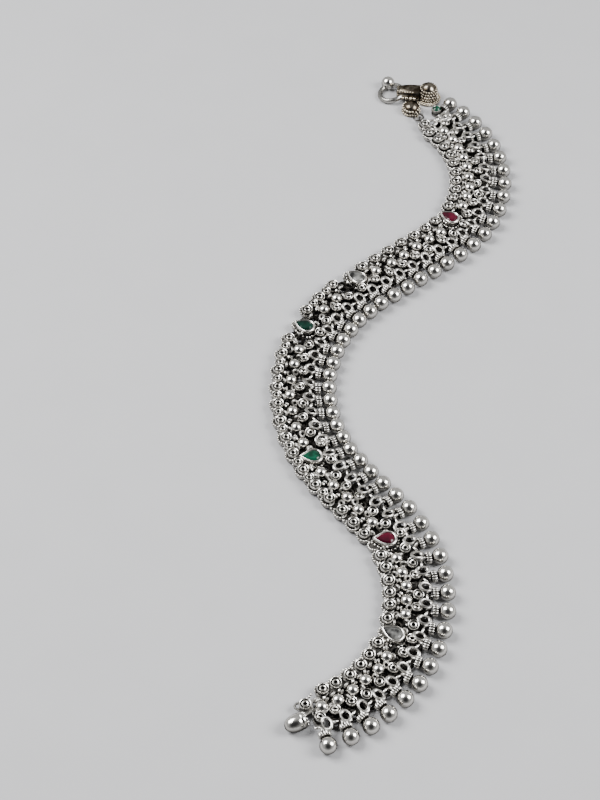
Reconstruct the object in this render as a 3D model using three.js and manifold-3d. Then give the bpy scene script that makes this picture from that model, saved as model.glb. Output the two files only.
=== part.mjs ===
// An open anklet of oxidised silver with coloured stones, lying flat in an S-curve.
// Millimetres, +Z up. The anklet lies on z = 0 and the origin is the middle of its footprint.

import * as THREE from 'three';
import { mergeVertices } from 'three/addons/utils/BufferGeometryUtils.js';
import Module from 'manifold-3d';

const wasm = await Module();
wasm.setup();

// Clear space between neighbouring pieces
const GAP = 0.3;

// Link line: where the band starts at the clasp, its heading, and its arcs with their left turns, in degrees
const BAND_START = { x: 14.58, y: 103.82 };
const BAND_HEADING = -40;
const BAND_ARCS = [
  { length: 67, turn: -101 },
  { length: 27.5, turn: 0 },
  { length: 73, turn: 90 },
  { length: 15, turn: 0 },
  { length: 79, turn: -113 },
];
const BAND_LENGTH = BAND_ARCS.reduce((sum, arc) => sum + arc.length, 0);

// Columns across the band, evenly spaced on the link line
const COLUMNS = 53;
const FIRST_COLUMN = 1;
const COLUMN_PITCH = 4.96;
const LAST_COLUMN = COLUMNS - 1;

// Facets of the round pieces
const SIDES = 10;
const FINE_SIDES = 12;
const WIRE_SIDES = 5;
const RING_SIDES = 16;
const RING_WIRE_SIDES = 6;

// Corners closer than this are one corner
const WELD_DISTANCE = 1e-4;

// Studs of the outer edge, the plates between them and the wire that passes the settings
const STUD_OFFSET = -9.1;
const STUD_RADIUS = 1.45;
const STUD_HEIGHT = 3;
const PLATE_WIDTH = 2.2;
const PLATE_THICKNESS = 0.8;
const PLATE_HEIGHT = 1.3;
const WIRE_SIZE = 0.7;
const WIRE_OFFSET = -7.9;
const FIRST_STUD = { station: 1.15, offset: -7.2 };

// Round beads, half a column on from the studs, and the thread that carries them
const BEAD_OFFSET = -5.4;
const FIRST_BEAD = 1.5;
const LAST_BEAD = COLUMNS - 2.5;
const BEAD_RADIUS = 1.5;
const BEAD_SHOULDER = 0.75;
const THREAD_RADIUS = 0.4;

// Band of small links between the beads and the bells
const LINK_OFFSET = -1.35;
const LINK_START = 2.4;
const LINK_END = 256.5;
const LINK_STEPS = 40;
const LINK_SECTION = [
  { across: -2.25, height: 0.5 },
  { across: -1.75, height: 0 },
  { across: 1.75, height: 0 },
  { across: 2.25, height: 0.5 },
  { across: 2.25, height: 1.7 },
  { across: 1.75, height: 2.2 },
  { across: -1.75, height: 2.2 },
  { across: -2.25, height: 1.7 },
];

// Bells with their collars, from the free end back to the bail
const BELL_OFFSET = 5;
const BELL_RADIUS = 2;
const BELL_PROFILE = [
  { radius: 0, along: 2 },
  { radius: 1.45, along: 1.38 },
  { radius: 2, along: 0 },
  { radius: 1.35, along: -1.47 },
  { radius: 1.4, along: -2.5 },
  { radius: 0, along: -3.3 },
];
const ROD_OFFSET = 3;
const ROD_RADIUS = 0.35;

// Pear settings: each takes the place of studs and beads, with a slot for the wire and the thread
const SLOT = { offset: -6.75, width: 4.5, height: 1.45, thickness: 1.4, length: 8 };
const SETTING_RINGS = [
  { width: 4, length: 5.7, height: 0 },
  { width: 4.3, length: 6, height: 1.2 },
  { width: 3.6, length: 5.2, height: 1.6 },
  { width: 4.1, length: 5.8, height: 2.9 },
  { width: 3.2, length: 4.8, height: 2.9 },
  { width: 2.1, length: 3.4, height: 3.3 },
];
const SETTINGS = [
  { name: 'setting_red_upper', stone: 'red', column: 11, offset: -6.9, yaw: 0 },
  { name: 'setting_clear_upper', stone: 'clear', column: 18.8, offset: -7, yaw: 15 },
  { name: 'setting_green_upper', stone: 'green', column: 23, offset: -6.9, yaw: 0 },
  { name: 'setting_green_lower', stone: 'green', column: 31.5, offset: -5.3, yaw: -25 },
  { name: 'setting_red_lower', stone: 'red', column: 38, offset: -5.8, yaw: -30 },
  { name: 'setting_clear_lower', stone: 'clear', column: 45, offset: -6.9, yaw: -8 },
];

// A setting this close to the link line has its place cut out of the link band
const CUT_OFFSET = -6;
const CUT_LEVELS = [-1, 4];

// Columns nearer to a setting than this have no stud or no bead
const STUD_CLEARANCE = 0.5;
const BEAD_CLEARANCE = 1;

// Small round setting at the clasp
const END_SETTING = { station: -0.6, offset: 0.6 };
const END_SETTING_PROFILE = [
  { radius: 0, along: 0 },
  { radius: 1.5, along: 0 },
  { radius: 1.6, along: 2.3 },
  { radius: 1.15, along: 2.3 },
  { radius: 0.7, along: 2.8 },
  { radius: 0, along: 2.8 },
];

// Clasp: wire ring with a ball, the dome with its neck, the cup and the jump ring
const END_RING = { station: -16.3, offset: -1.9, radius: 3.2, wire: 0.55, height: 1.3 };
const END_RING_TILT = 12;
const BALL = { station: -19.6, offset: 0.6, radius: 1.8 };
const DOME = { station: -6.9, offset: 4.6 };
const DOME_PROFILE = [
  { radius: 0, along: 0 },
  { radius: 2.5, along: 0 },
  { radius: 3, along: 0.7 },
  { radius: 3, along: 2.8 },
  { radius: 2.2, along: 4.9 },
  { radius: 0, along: 6 },
];
const NECK_START = { station: -15, offset: -0.7 };
const NECK_HEIGHT = 2.1;
const NECK_PROFILE = [
  { radius: 0, along: 0 },
  { radius: 1.9, along: 0.2 },
  { radius: 2.1, along: 1.9 },
  { radius: 1.6, along: 3.8 },
  { radius: 1.9, along: 7 },
  { radius: 0, along: 8 },
];
const CUP = { station: -7, offset: -3.9 };
const CUP_PROFILE = [
  { radius: 0, along: 0 },
  { radius: 1.6, along: 0 },
  { radius: 2.4, along: 1 },
  { radius: 2.3, along: 2.8 },
  { radius: 1.3, along: 4.2 },
  { radius: 0, along: 4.5 },
];
const EYE_RADIUS = 0.95;
const EYE_WIRE = 0.28;
const EYE_REACH = 3.3;
const JUMP_RING_RADIUS = 1.5;
const JUMP_RING_HEIGHT = 1.5;

// Barrel end: the bullet, and the plate that carries the last stud and an eye
const BARREL = { station: 2.8, offset: -2.85, heading: 223 };
const BARREL_PROFILE = [
  { radius: 0, along: 2.9 },
  { radius: 1.3, along: 2.4 },
  { radius: 2, along: 1 },
  { radius: 2.15, along: -0.2 },
  { radius: 2.15, along: -2 },
  { radius: 1.5, along: -2.4 },
  { radius: 0, along: -2.4 },
];
const BARREL_HEIGHT = 2.15;
const END_STUD = { station: -0.75, offset: -6.9 };
const END_EYE = { station: 1.6, offset: -7.3, radius: 0.85, height: 1.7 };
const END_PLATE = [
  { station: -1.9, offset: -6.9 },
  { station: -1.7, offset: -5 },
  { station: -0.4, offset: -4.9 },
  { station: 0.6, offset: -6.9 },
];

const silver = new THREE.MeshStandardMaterial({ color: 0xb8b4ab, roughness: 0.28, metalness: 1 });
const darkSilver = new THREE.MeshStandardMaterial({ color: 0x8d897f, roughness: 0.42, metalness: 1 });
const stones = {
  red: new THREE.MeshStandardMaterial({ color: 0x6d0f2a, roughness: 0.12, metalness: 0 }),
  green: new THREE.MeshStandardMaterial({ color: 0x0d5a3a, roughness: 0.12, metalness: 0 }),
  clear: new THREE.MeshStandardMaterial({ color: 0xb9b9b4, roughness: 0.08, metalness: 0 }),
};

const { degToRad } = THREE.MathUtils;
const UP = new THREE.Vector3(0, 0, 1);

// Point and heading on the link line; before its start and past its end the line runs straight on
function bandFrame(station) {
  let { x, y } = BAND_START;
  let heading = degToRad(BAND_HEADING);
  let left = station;
  for (const arc of BAND_ARCS) {
    const part = Math.max(0, Math.min(left, arc.length));
    const half = degToRad(arc.turn) * part / arc.length / 2;
    const chord = half === 0 ? part : part * Math.sin(half) / half;
    x += chord * Math.cos(heading + half);
    y += chord * Math.sin(heading + half);
    heading += 2 * half;
    left -= part;
  }
  return { x: x + left * Math.cos(heading), y: y + left * Math.sin(heading), heading };
}

// Point at a station, moved across the band towards the bells, at a height
function place(station, offset, height) {
  const { x, y, heading } = bandFrame(station);
  return new THREE.Vector3(x - offset * Math.sin(heading), y + offset * Math.cos(heading), height);
}

// Matrix with X along the band, Y across it towards the bells and Z up
function stand(station, offset, height, yaw = 0) {
  const { heading } = bandFrame(station);
  return new THREE.Matrix4().makeRotationZ(heading + yaw).setPosition(place(station, offset, height));
}

function columnStation(column) {
  return FIRST_COLUMN + column * COLUMN_PITCH;
}

function nearSetting(column, clearance) {
  return SETTINGS.some((setting) => Math.abs(setting.column - column) < clearance);
}

// Welds a geometry's shared corners, drops its flat triangles and turns its faces outwards
function weld(geometry) {
  const bare = geometry.clone();
  bare.deleteAttribute('normal');
  bare.deleteAttribute('uv');
  const welded = mergeVertices(bare, WELD_DISTANCE);
  const points = welded.attributes.position;
  const corners = welded.index.array;
  const faces = [];
  let volume = 0;
  const [a, b, c] = [new THREE.Vector3(), new THREE.Vector3(), new THREE.Vector3()];
  for (let i = 0; i < corners.length; i += 3) {
    const face = [corners[i], corners[i + 1], corners[i + 2]];
    if (new Set(face).size < 3) continue;
    faces.push(face);
    a.fromBufferAttribute(points, face[0]);
    b.fromBufferAttribute(points, face[1]);
    c.fromBufferAttribute(points, face[2]);
    volume += a.dot(b.cross(c));
  }
  welded.setIndex((volume < 0 ? faces.map((face) => face.reverse()) : faces).flat());
  return welded;
}

function toSolid(geometry) {
  const welded = weld(geometry);
  return new wasm.Manifold(new wasm.Mesh({
    numProp: 3,
    vertProperties: new Float32Array(welded.attributes.position.array),
    triVerts: new Uint32Array(welded.index.array),
  }));
}

function toGeometry(solid) {
  const { vertProperties, triVerts } = solid.getMesh();
  const geometry = new THREE.BufferGeometry();
  geometry.setAttribute('position', new THREE.BufferAttribute(vertProperties, 3));
  geometry.setIndex(new THREE.BufferAttribute(triVerts, 1));
  return geometry;
}

function fuse(geometries) {
  return geometries.map(toSolid).reduce((whole, solid) => whole.add(solid));
}

// Closed skin over rings of equal count, with flat ends
function loft(rings) {
  const count = rings[0].length;
  const faces = [];
  for (let r = 0; r + 1 < rings.length; r += 1) {
    for (let i = 0; i < count; i += 1) {
      const next = (i + 1) % count;
      const [near, far] = [r * count, (r + 1) * count];
      faces.push(near + i, near + next, far + next, near + i, far + next, far + i);
    }
  }
  const last = (rings.length - 1) * count;
  for (let i = 1; i + 1 < count; i += 1) {
    faces.push(0, i + 1, i, last, last + i, last + i + 1);
  }
  const geometry = new THREE.BufferGeometry().setFromPoints(rings.flat());
  geometry.setIndex(faces);
  return weld(geometry);
}

// Turned piece about its own Y axis
function turned(profile, sides) {
  return new THREE.LatheGeometry(profile.map((p) => new THREE.Vector2(p.radius, p.along)), sides);
}

// Turned piece about Z
function turnedUpright(profile, sides) {
  return turned(profile, sides).rotateX(Math.PI / 2);
}

// Straight bar of rectangular section from one point to another, a little longer at both ends
function bar(from, to, width, thickness, extra) {
  const run = new THREE.Vector3().subVectors(to, from);
  const box = new THREE.BoxGeometry(run.length() + 2 * extra, width, thickness);
  const middle = new THREE.Vector3().addVectors(from, to).multiplyScalar(0.5);
  return box.rotateZ(Math.atan2(run.y, run.x)).translate(middle.x, middle.y, middle.z);
}

// Ring of wire about Z, or about a level axis when it stands upright
function wireRing(radius, wire, sides, wireSides, uprightHeading = null) {
  const ring = new THREE.TorusGeometry(radius, wire, wireSides, sides);
  return uprightHeading === null ? ring : ring.rotateX(Math.PI / 2).rotateZ(uprightHeading);
}

function drum() {
  return turnedUpright([
    { radius: 0, along: 0 },
    { radius: STUD_RADIUS, along: 0 },
    { radius: STUD_RADIUS, along: STUD_HEIGHT },
    { radius: 0, along: STUD_HEIGHT },
  ], SIDES);
}

// Stops of the outer row: studs, and the points where its wire passes a setting
function studStops() {
  const stops = [{ ...FIRST_STUD, wire: false }];
  for (let column = 1; column < LAST_COLUMN; column += 1) {
    const wire = nearSetting(column, STUD_CLEARANCE);
    stops.push({ station: columnStation(column), offset: wire ? WIRE_OFFSET : STUD_OFFSET, wire });
  }
  return stops;
}

// Bars from stop to stop: plates between studs, thin wire next to a setting
function studBars() {
  const stops = studStops();
  return stops.slice(1).map((to, i) => {
    const from = stops[i];
    const ends = [from, to].map((stop) => place(stop.station, stop.offset, PLATE_HEIGHT));
    return from.wire || to.wire
      ? bar(ends[0], ends[1], WIRE_SIZE, WIRE_SIZE, WIRE_SIZE / 2)
      : bar(ends[0], ends[1], PLATE_WIDTH, PLATE_THICKNESS, 0);
  });
}

// Places of the eye, the jump ring and the second eye, in line from the cup to the first stud
function claspLine() {
  const cup = place(CUP.station, CUP.offset, JUMP_RING_HEIGHT);
  const stud = place(FIRST_STUD.station, FIRST_STUD.offset, JUMP_RING_HEIGHT);
  const along = new THREE.Vector3().subVectors(stud, cup).normalize();
  const step = (distance) => cup.clone().addScaledVector(along, distance);
  return {
    heading: Math.atan2(along.y, along.x),
    cupEye: step(EYE_REACH),
    ring: step(EYE_REACH + JUMP_RING_RADIUS),
    studEye: step(EYE_REACH + 2 * JUMP_RING_RADIUS),
  };
}

function eyeAt(point) {
  const eye = wireRing(EYE_RADIUS, EYE_WIRE, SIDES, WIRE_SIDES, claspLine().heading);
  return eye.translate(point.x, point.y, point.z);
}

function studRow() {
  const studs = studStops().filter((stop) => !stop.wire)
    .map((stop) => drum().applyMatrix4(stand(stop.station, stop.offset, 0)));
  return toGeometry(fuse([...studs, ...studBars(), eyeAt(claspLine().studEye)]));
}

// Round section square to the band, at a point of it
function roundSection(point, heading, radius, sides) {
  const across = new THREE.Vector3(-Math.sin(heading), Math.cos(heading), 0);
  return Array.from({ length: sides }, (_, i) => {
    const angle = 2 * Math.PI * i / sides;
    return point.clone().addScaledVector(across, radius * Math.cos(angle))
      .addScaledVector(UP, radius * Math.sin(angle));
  });
}

function beadRow() {
  const rings = [];
  for (let column = FIRST_BEAD; column <= LAST_BEAD; column += 1) {
    const station = columnStation(column);
    const { heading } = bandFrame(station);
    const centre = place(station, BEAD_OFFSET, BEAD_RADIUS);
    const ahead = new THREE.Vector3(Math.cos(heading), Math.sin(heading), 0);
    if (nearSetting(column, BEAD_CLEARANCE)) {
      rings.push(roundSection(centre, heading, THREAD_RADIUS, SIDES));
    } else {
      for (const shift of [-BEAD_SHOULDER, BEAD_SHOULDER]) {
        const shoulder = centre.clone().addScaledVector(ahead, shift);
        rings.push(roundSection(shoulder, heading, BEAD_RADIUS, SIDES));
      }
    }
    if (column < LAST_BEAD) {
      const between = station + COLUMN_PITCH / 2;
      const neck = place(between, BEAD_OFFSET, BEAD_RADIUS);
      rings.push(roundSection(neck, bandFrame(between).heading, THREAD_RADIUS, SIDES));
    }
  }
  return loft(rings);
}

function linkBand() {
  const rings = [];
  for (let step = 0; step <= LINK_STEPS; step += 1) {
    const station = LINK_START + (LINK_END - LINK_START) * step / LINK_STEPS;
    rings.push(LINK_SECTION.map((p) => place(station, LINK_OFFSET + p.across, p.height)));
  }
  const cuts = SETTINGS.filter((setting) => setting.offset > CUT_OFFSET).map(settingCut);
  return toGeometry(cuts.reduce((band, cut) => band.subtract(toSolid(cut)), toSolid(loft(rings))));
}

function bellFringe() {
  const bells = [];
  const rod = [];
  for (let column = 0; column < COLUMNS; column += 1) {
    const station = columnStation(column);
    bells.push(turned(BELL_PROFILE, SIDES).applyMatrix4(stand(station, BELL_OFFSET, BELL_RADIUS)));
    const centre = place(station, ROD_OFFSET, BELL_RADIUS);
    rod.push(roundSection(centre, bandFrame(station).heading, ROD_RADIUS, WIRE_SIDES));
  }
  return toGeometry(fuse([loft(rod), ...bells]));
}

// Pear outline with its point away from the bells. sin(a) sin(a / 2) has the greatest value 4 / sqrt(27).
function pearRing(width, length, height) {
  const widest = 4 / Math.sqrt(27);
  return Array.from({ length: FINE_SIDES }, (_, i) => {
    const angle = 2 * Math.PI * i / FINE_SIDES;
    const across = width / 2 * Math.sin(angle) * Math.sin(angle / 2) / widest;
    return new THREE.Vector3(across, -length / 2 * Math.cos(angle), height);
  });
}

function settingFrame({ column, offset, yaw }) {
  return stand(columnStation(column), offset, 0, degToRad(yaw));
}

// Widest outline of a setting with a gap all round, as a tall block
function settingCut(setting) {
  const widest = SETTING_RINGS.reduce((a, b) => (b.width > a.width ? b : a));
  const [width, length] = [widest.width + 2 * GAP, widest.length + 2 * GAP];
  return loft(CUT_LEVELS.map((level) => pearRing(width, length, level))).applyMatrix4(settingFrame(setting));
}

function pearSetting(setting) {
  const rings = SETTING_RINGS.map((ring) => pearRing(ring.width, ring.length, ring.height));
  const body = loft(rings).applyMatrix4(settingFrame(setting));
  const slot = new THREE.BoxGeometry(SLOT.length, SLOT.width, SLOT.thickness)
    .applyMatrix4(stand(columnStation(setting.column), SLOT.offset, SLOT.height));
  return toGeometry(toSolid(body).subtract(toSolid(slot)));
}

function endSetting() {
  return weld(turnedUpright(END_SETTING_PROFILE, SIDES)
    .applyMatrix4(stand(END_SETTING.station, END_SETTING.offset, 0)));
}

// Wire of the end ring, raised where it passes through the neck
function endRingWire(wire) {
  const neck = place(NECK_START.station, NECK_START.offset, 0);
  const centre = place(END_RING.station, END_RING.offset, END_RING.height);
  const heading = Math.atan2(neck.y - centre.y, neck.x - centre.x);
  return wireRing(END_RING.radius, wire, RING_SIDES, RING_WIRE_SIDES)
    .rotateY(-degToRad(END_RING_TILT)).rotateZ(heading).translate(centre.x, centre.y, centre.z);
}

function endRing() {
  const centre = place(BALL.station, BALL.offset, BALL.radius);
  const ball = new THREE.SphereGeometry(BALL.radius, SIDES, SIDES / 2);
  ball.translate(centre.x, centre.y, centre.z);
  return toGeometry(fuse([endRingWire(END_RING.wire), ball]));
}

function claspDome() {
  const dome = turnedUpright(DOME_PROFILE, FINE_SIDES).applyMatrix4(stand(DOME.station, DOME.offset, 0));
  const from = place(NECK_START.station, NECK_START.offset, NECK_HEIGHT);
  const to = place(DOME.station, DOME.offset, NECK_HEIGHT);
  const heading = Math.atan2(to.y - from.y, to.x - from.x);
  const neck = turned(NECK_PROFILE, SIDES).rotateZ(heading - Math.PI / 2).translate(from.x, from.y, from.z);
  return toGeometry(fuse([dome, neck]).subtract(toSolid(endRingWire(END_RING.wire + GAP))));
}

function cupBead() {
  const cup = turnedUpright(CUP_PROFILE, SIDES).applyMatrix4(stand(CUP.station, CUP.offset, 0));
  return toGeometry(fuse([cup, eyeAt(claspLine().cupEye)]));
}

function jumpRing() {
  const { x, y, z } = claspLine().ring;
  return weld(wireRing(JUMP_RING_RADIUS, EYE_WIRE, FINE_SIDES, WIRE_SIDES).translate(x, y, z));
}

function barrel() {
  const { x, y, z } = place(BAND_LENGTH + BARREL.station, BARREL.offset, BARREL_HEIGHT);
  const turn = degToRad(BARREL.heading) - Math.PI / 2;
  return weld(turned(BARREL_PROFILE, FINE_SIDES).rotateZ(turn).translate(x, y, z));
}

function endPlate() {
  const stud = drum().applyMatrix4(stand(BAND_LENGTH + END_STUD.station, END_STUD.offset, 0));
  const ring = (height) => END_PLATE.map((p) => place(BAND_LENGTH + p.station, p.offset, height));
  const faces = [-PLATE_THICKNESS / 2, PLATE_THICKNESS / 2].map((half) => PLATE_HEIGHT + half);
  const plate = loft(faces.map(ring));
  const { x, y, z } = place(BAND_LENGTH + END_EYE.station, END_EYE.offset, END_EYE.height);
  const eye = wireRing(END_EYE.radius, EYE_WIRE, SIDES, WIRE_SIDES).translate(x, y, z);
  return toGeometry(fuse([stud, plate, eye]));
}

const anklet = new THREE.Group();
anklet.name = 'anklet';

function addPiece(name, geometry, material) {
  const mesh = new THREE.Mesh(geometry, material);
  mesh.name = name;
  anklet.add(mesh);
}

addPiece('stud_row', studRow(), darkSilver);
addPiece('bead_row', beadRow(), silver);
addPiece('link_band', linkBand(), darkSilver);
addPiece('bell_fringe', bellFringe(), silver);
for (const setting of SETTINGS) addPiece(setting.name, pearSetting(setting), stones[setting.stone]);
addPiece('end_setting', endSetting(), stones.green);
addPiece('end_ring', endRing(), silver);
addPiece('clasp_dome', claspDome(), darkSilver);
addPiece('cup_bead', cupBead(), darkSilver);
addPiece('jump_ring', jumpRing(), silver);
addPiece('barrel', barrel(), silver);
addPiece('end_plate', endPlate(), darkSilver);

export default anklet;
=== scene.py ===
"""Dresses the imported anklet: studs, beads, wire loops, bells, pear stones and the clasp, in silver."""

import logging
import math
from dataclasses import dataclass
from enum import Enum
from typing import Iterable, NamedTuple, Sequence

import bpy
import numpy as np
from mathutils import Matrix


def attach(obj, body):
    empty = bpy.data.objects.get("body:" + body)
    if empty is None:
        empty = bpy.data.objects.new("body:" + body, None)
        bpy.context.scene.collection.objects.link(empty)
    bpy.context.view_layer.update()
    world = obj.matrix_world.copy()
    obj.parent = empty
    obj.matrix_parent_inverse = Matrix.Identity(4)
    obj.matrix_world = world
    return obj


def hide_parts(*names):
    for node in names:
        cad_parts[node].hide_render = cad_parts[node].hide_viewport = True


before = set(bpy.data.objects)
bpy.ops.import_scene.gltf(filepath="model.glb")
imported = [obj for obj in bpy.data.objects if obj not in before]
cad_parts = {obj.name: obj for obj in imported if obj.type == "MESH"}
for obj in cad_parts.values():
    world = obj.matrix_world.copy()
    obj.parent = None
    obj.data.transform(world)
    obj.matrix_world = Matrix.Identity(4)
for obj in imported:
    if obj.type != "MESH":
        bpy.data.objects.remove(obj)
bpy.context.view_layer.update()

log = logging.getLogger("anklet")

# Lengths below are in millimetres, angles in degrees
MM = 0.001
BODY = "root"
# Mesh attribute with the tarnish of each corner and the painted shade added to it
SHADE_AND_TARNISH = "tarnish"

# Facets of the small round things
STUD_SIDES = 26
BEAD_SIDES = 26
BELL_SIDES = 34
WIRE_SIDES = 9
HOOP_STEPS = 24
GRAIN_SIDES = 8
GRAIN_ROWS = 5
TURNED_SIDES = 36
SMALL_HOOP_STEPS = 16

# Wires that lie deep are nearly black
DEEP_TARNISH = 0.95

# Painted shade: metal below this level is darkened down to the surface, for the shade that falls low between
# the parts
SHADE_START_LEVEL = 1.7
DARK_DEPTH = 1.6
DARK_SHARE = 0.9

# Painted shade on the flanks, which are darker than the tops: slope of the normal where that shade starts
# and where it is full
SHADE_START_SLOPE = 0.88
SHADE_FULL_SLOPE = -0.05
FLANK_SHARE = 0.85


class Slot(Enum):
    """Material slots of the record."""

    POLISHED = "polished_silver"
    OXIDISED = "oxidised_silver"
    RED = "red_stone"
    GREEN = "green_stone"
    CLEAR = "clear_stone"


class Stop(NamedTuple):
    """A place on the band: station along it and offset towards the bells."""

    station: float
    offset: float


class Turn(NamedTuple):
    """One corner of a turned profile, with how dark the metal is there."""

    radius: float
    along: float
    tarnish: float


class CollarRow(NamedTuple):
    """One ring of a bell's collar, with the share of the full depth that its ribs have."""

    radius: float
    along: float
    rib: float


class Grains(NamedTuple):
    """How granules cover a body: distance between them, their size and how dark they are."""

    spacing: float
    radius: float
    tarnish: float


class PearRow(NamedTuple):
    """One pear-shaped ring of a setting, with how dark the metal is there."""

    width: float
    length: float
    height: float
    tarnish: float


def rotation(axis: str, degrees: float) -> np.ndarray:
    """Makes a turn about one axis.

    Args:
        axis: x, y or z.
        degrees: the turn, counter-clockwise.

    Returns:
        A 4 by 4 matrix.
    """
    first, second = {"x": (1, 2), "y": (2, 0), "z": (0, 1)}[axis]
    angle = math.radians(degrees)
    matrix = np.eye(4)
    matrix[first, first] = matrix[second, second] = math.cos(angle)
    matrix[first, second] = -math.sin(angle)
    matrix[second, first] = math.sin(angle)
    return matrix


def shift(x: float = 0.0, y: float = 0.0, z: float = 0.0) -> np.ndarray:
    """Makes a 4 by 4 matrix that moves by x, y and z.

    Args:
        x: distance along X.
        y: distance along Y.
        z: distance along Z.

    Returns:
        A 4 by 4 matrix.
    """
    matrix = np.eye(4)
    matrix[:3, 3] = (x, y, z)
    return matrix


def round_angles(count: int) -> np.ndarray:
    """Gives equal steps round a full turn, in radians."""
    return 2 * np.pi * np.arange(count) / count


def on_circle(radius: float | np.ndarray, angles: np.ndarray, height: float = 0.0) -> np.ndarray:
    """Gives points on a level circle about Z, one row for each angle in radians."""
    return np.stack([radius * np.cos(angles), radius * np.sin(angles), np.full(len(angles), height)], axis=1)


def travelled(path: np.ndarray) -> np.ndarray:
    """Gives the distance along a path from its start to each of its points."""
    return np.concatenate([[0.0], np.cumsum(np.linalg.norm(np.diff(path, axis=0), axis=1))])


def along_path(path: np.ndarray, marks: np.ndarray) -> np.ndarray:
    """Gives the points of a path at some distances from its start, one row each."""
    return np.stack([np.interp(marks, travelled(path), values) for values in path.T], axis=1)


def leaning(draw: np.random.Generator, tilt: float) -> np.ndarray:
    """Draws a lean about X and then about Y, each up to the tilt either way."""
    about_x = rotation("x", draw.uniform(-tilt, tilt))
    return about_x @ rotation("y", draw.uniform(-tilt, tilt))


def resize(x: float, y: float, z: float) -> np.ndarray:
    """Makes a 4 by 4 matrix that stretches along the three axes."""
    return np.diag([x, y, z, 1.0])


@dataclass
class Shape:
    """A small mesh in millimetres, with the tarnish of each corner.

    Attributes:
        points: one row for each corner.
        quads: faces of four corners.
        tris: faces of three corners.
        tarnish: 0 for bright metal, 1 for black.
    """

    points: np.ndarray
    quads: np.ndarray
    tris: np.ndarray
    tarnish: np.ndarray

    def moved(self, matrix: np.ndarray) -> "Shape":
        """Gives a copy moved by a matrix."""
        points = self.points @ matrix[:3, :3].T + matrix[:3, 3]
        return Shape(points, self.quads, self.tris, self.tarnish)


def skin(rows: Sequence[np.ndarray], tarnish: Sequence[float], closed: bool = False) -> Shape:
    """Lays a skin over rows of corners that run counter-clockwise round +Z from the first row up.

    Args:
        rows: rings of equal count, or single points that close an end.
        tarnish: a value for each row.
        closed: whether the last row joins the first.

    Returns:
        The skin, open at an end that has no single point.
    """
    starts = np.cumsum([0] + [len(row) for row in rows])
    quads = []
    tris = []
    pairs = list(range(len(rows))) if closed else list(range(len(rows) - 1))
    for low in pairs:
        high = (low + 1) % len(rows)
        near = starts[low] + np.arange(len(rows[low]))
        far = starts[high] + np.arange(len(rows[high]))
        if len(near) > 1 and len(far) > 1:
            quads.append(np.stack([near, np.roll(near, -1), np.roll(far, -1), far], axis=1))
        elif len(far) > 1:
            tris.append(np.stack([np.repeat(near, len(far)), np.roll(far, -1), far], axis=1))
        else:
            tris.append(np.stack([near, np.roll(near, -1), np.repeat(far, len(near))], axis=1))
    return Shape(
        np.concatenate(rows),
        np.concatenate(quads) if quads else np.zeros((0, 4), int),
        np.concatenate(tris) if tris else np.zeros((0, 3), int),
        np.concatenate([np.full(len(row), dark) for row, dark in zip(rows, tarnish)]),
    )


def turned(profile: Iterable[Sequence[float]], sides: int) -> Shape:
    """Turns a profile of radius, along and tarnish about Z, from its low end to its high end.

    Args:
        profile: corners from the low end, radius 0 where an end closes.
        sides: facets round the axis.

    Returns:
        The turned shape.
    """
    circle = on_circle(1.0, round_angles(sides))
    rows = []
    darkness = []
    for radius, along, tarnish in profile:
        centre = np.array([[0.0, 0.0, along]])
        rows.append(circle * radius + centre if radius > 0 else centre)
        darkness.append(tarnish)
    return skin(rows, darkness)


def sized(profile: Iterable[Turn], radius: float, height: float) -> list[Turn]:
    """Scales a profile of unit radius and height."""
    return [Turn(turn.radius * radius, turn.along * height, turn.tarnish) for turn in profile]


def ball(radius: float, sides: int, rows: int, tarnish: float = 0.0) -> Shape:
    """Makes a round ball about the origin with one tarnish all over.

    Args:
        radius: size from the middle to the edge.
        sides: facets round the axis.
        rows: facets from pole to pole.
        tarnish: 0 for bright metal, 1 for black.

    Returns:
        The shape.
    """
    angles = np.pi * np.arange(rows + 1) / rows
    profile = [(radius * math.sin(a), -radius * math.cos(a), tarnish) for a in angles]
    profile[0] = (0.0, -radius, tarnish)
    profile[-1] = (0.0, radius, tarnish)
    return turned(profile, sides)


def tube(path: np.ndarray, radius: float, closed: bool, tarnish: float = 0.0) -> Shape:
    """Makes a round wire along a path that never runs straight up.

    Args:
        path: centre points, one row each.
        radius: half the wire's thickness.
        closed: whether the wire is a ring.
        tarnish: darkness of the wire.

    Returns:
        The wire, with pointed ends where it is open.
    """
    if closed:
        ahead = np.roll(path, -1, axis=0) - np.roll(path, 1, axis=0)
    else:
        ahead = np.gradient(path, axis=0)
    ahead = ahead / np.linalg.norm(ahead, axis=1, keepdims=True)
    side = np.cross(ahead, [0.0, 0.0, 1.0])
    side = side / np.linalg.norm(side, axis=1, keepdims=True)
    top = np.cross(side, ahead)
    angles = round_angles(WIRE_SIDES)
    rows = [
        centre + radius * (np.outer(np.cos(angles), across) + np.outer(np.sin(angles), up))
        for centre, across, up in zip(path, side, top)
    ]
    if not closed:
        rows = [path[:1], *rows, path[-1:]]
    return skin(rows, [tarnish] * len(rows), closed)


def hoop(radius: float, wire: float, steps: int = HOOP_STEPS, tarnish: float = 0.0) -> Shape:
    """Makes a ring of round wire that lies flat about the origin."""
    return tube(on_circle(radius, round_angles(steps)), wire, closed=True, tarnish=tarnish)


def pear(width: float, length: float, height: float, count: int) -> np.ndarray:
    """Draws a pear outline with its point towards -Y.

    Args:
        width: greatest width.
        length: from the point to the round end.
        height: level of the outline.
        count: number of corners.

    Returns:
        The corners, counter-clockwise.
    """
    angles = round_angles(count)
    # The greatest value of the two sines' product
    widest = 4 / math.sqrt(27)
    across = width / 2 * np.sin(angles) * np.sin(angles / 2) / widest
    return np.stack([across, -length / 2 * np.cos(angles), np.full(count, height)], axis=1)


def spaced(outline: np.ndarray, count: int) -> np.ndarray:
    """Picks points at equal distances round a closed outline.

    Args:
        outline: corners of the outline.
        count: number of points wanted.

    Returns:
        The points, one row each.
    """
    loop = np.concatenate([outline, outline[:1]])
    marks = travelled(loop)[-1] * (np.arange(count) + 0.5) / count
    return along_path(loop, marks)


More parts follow.
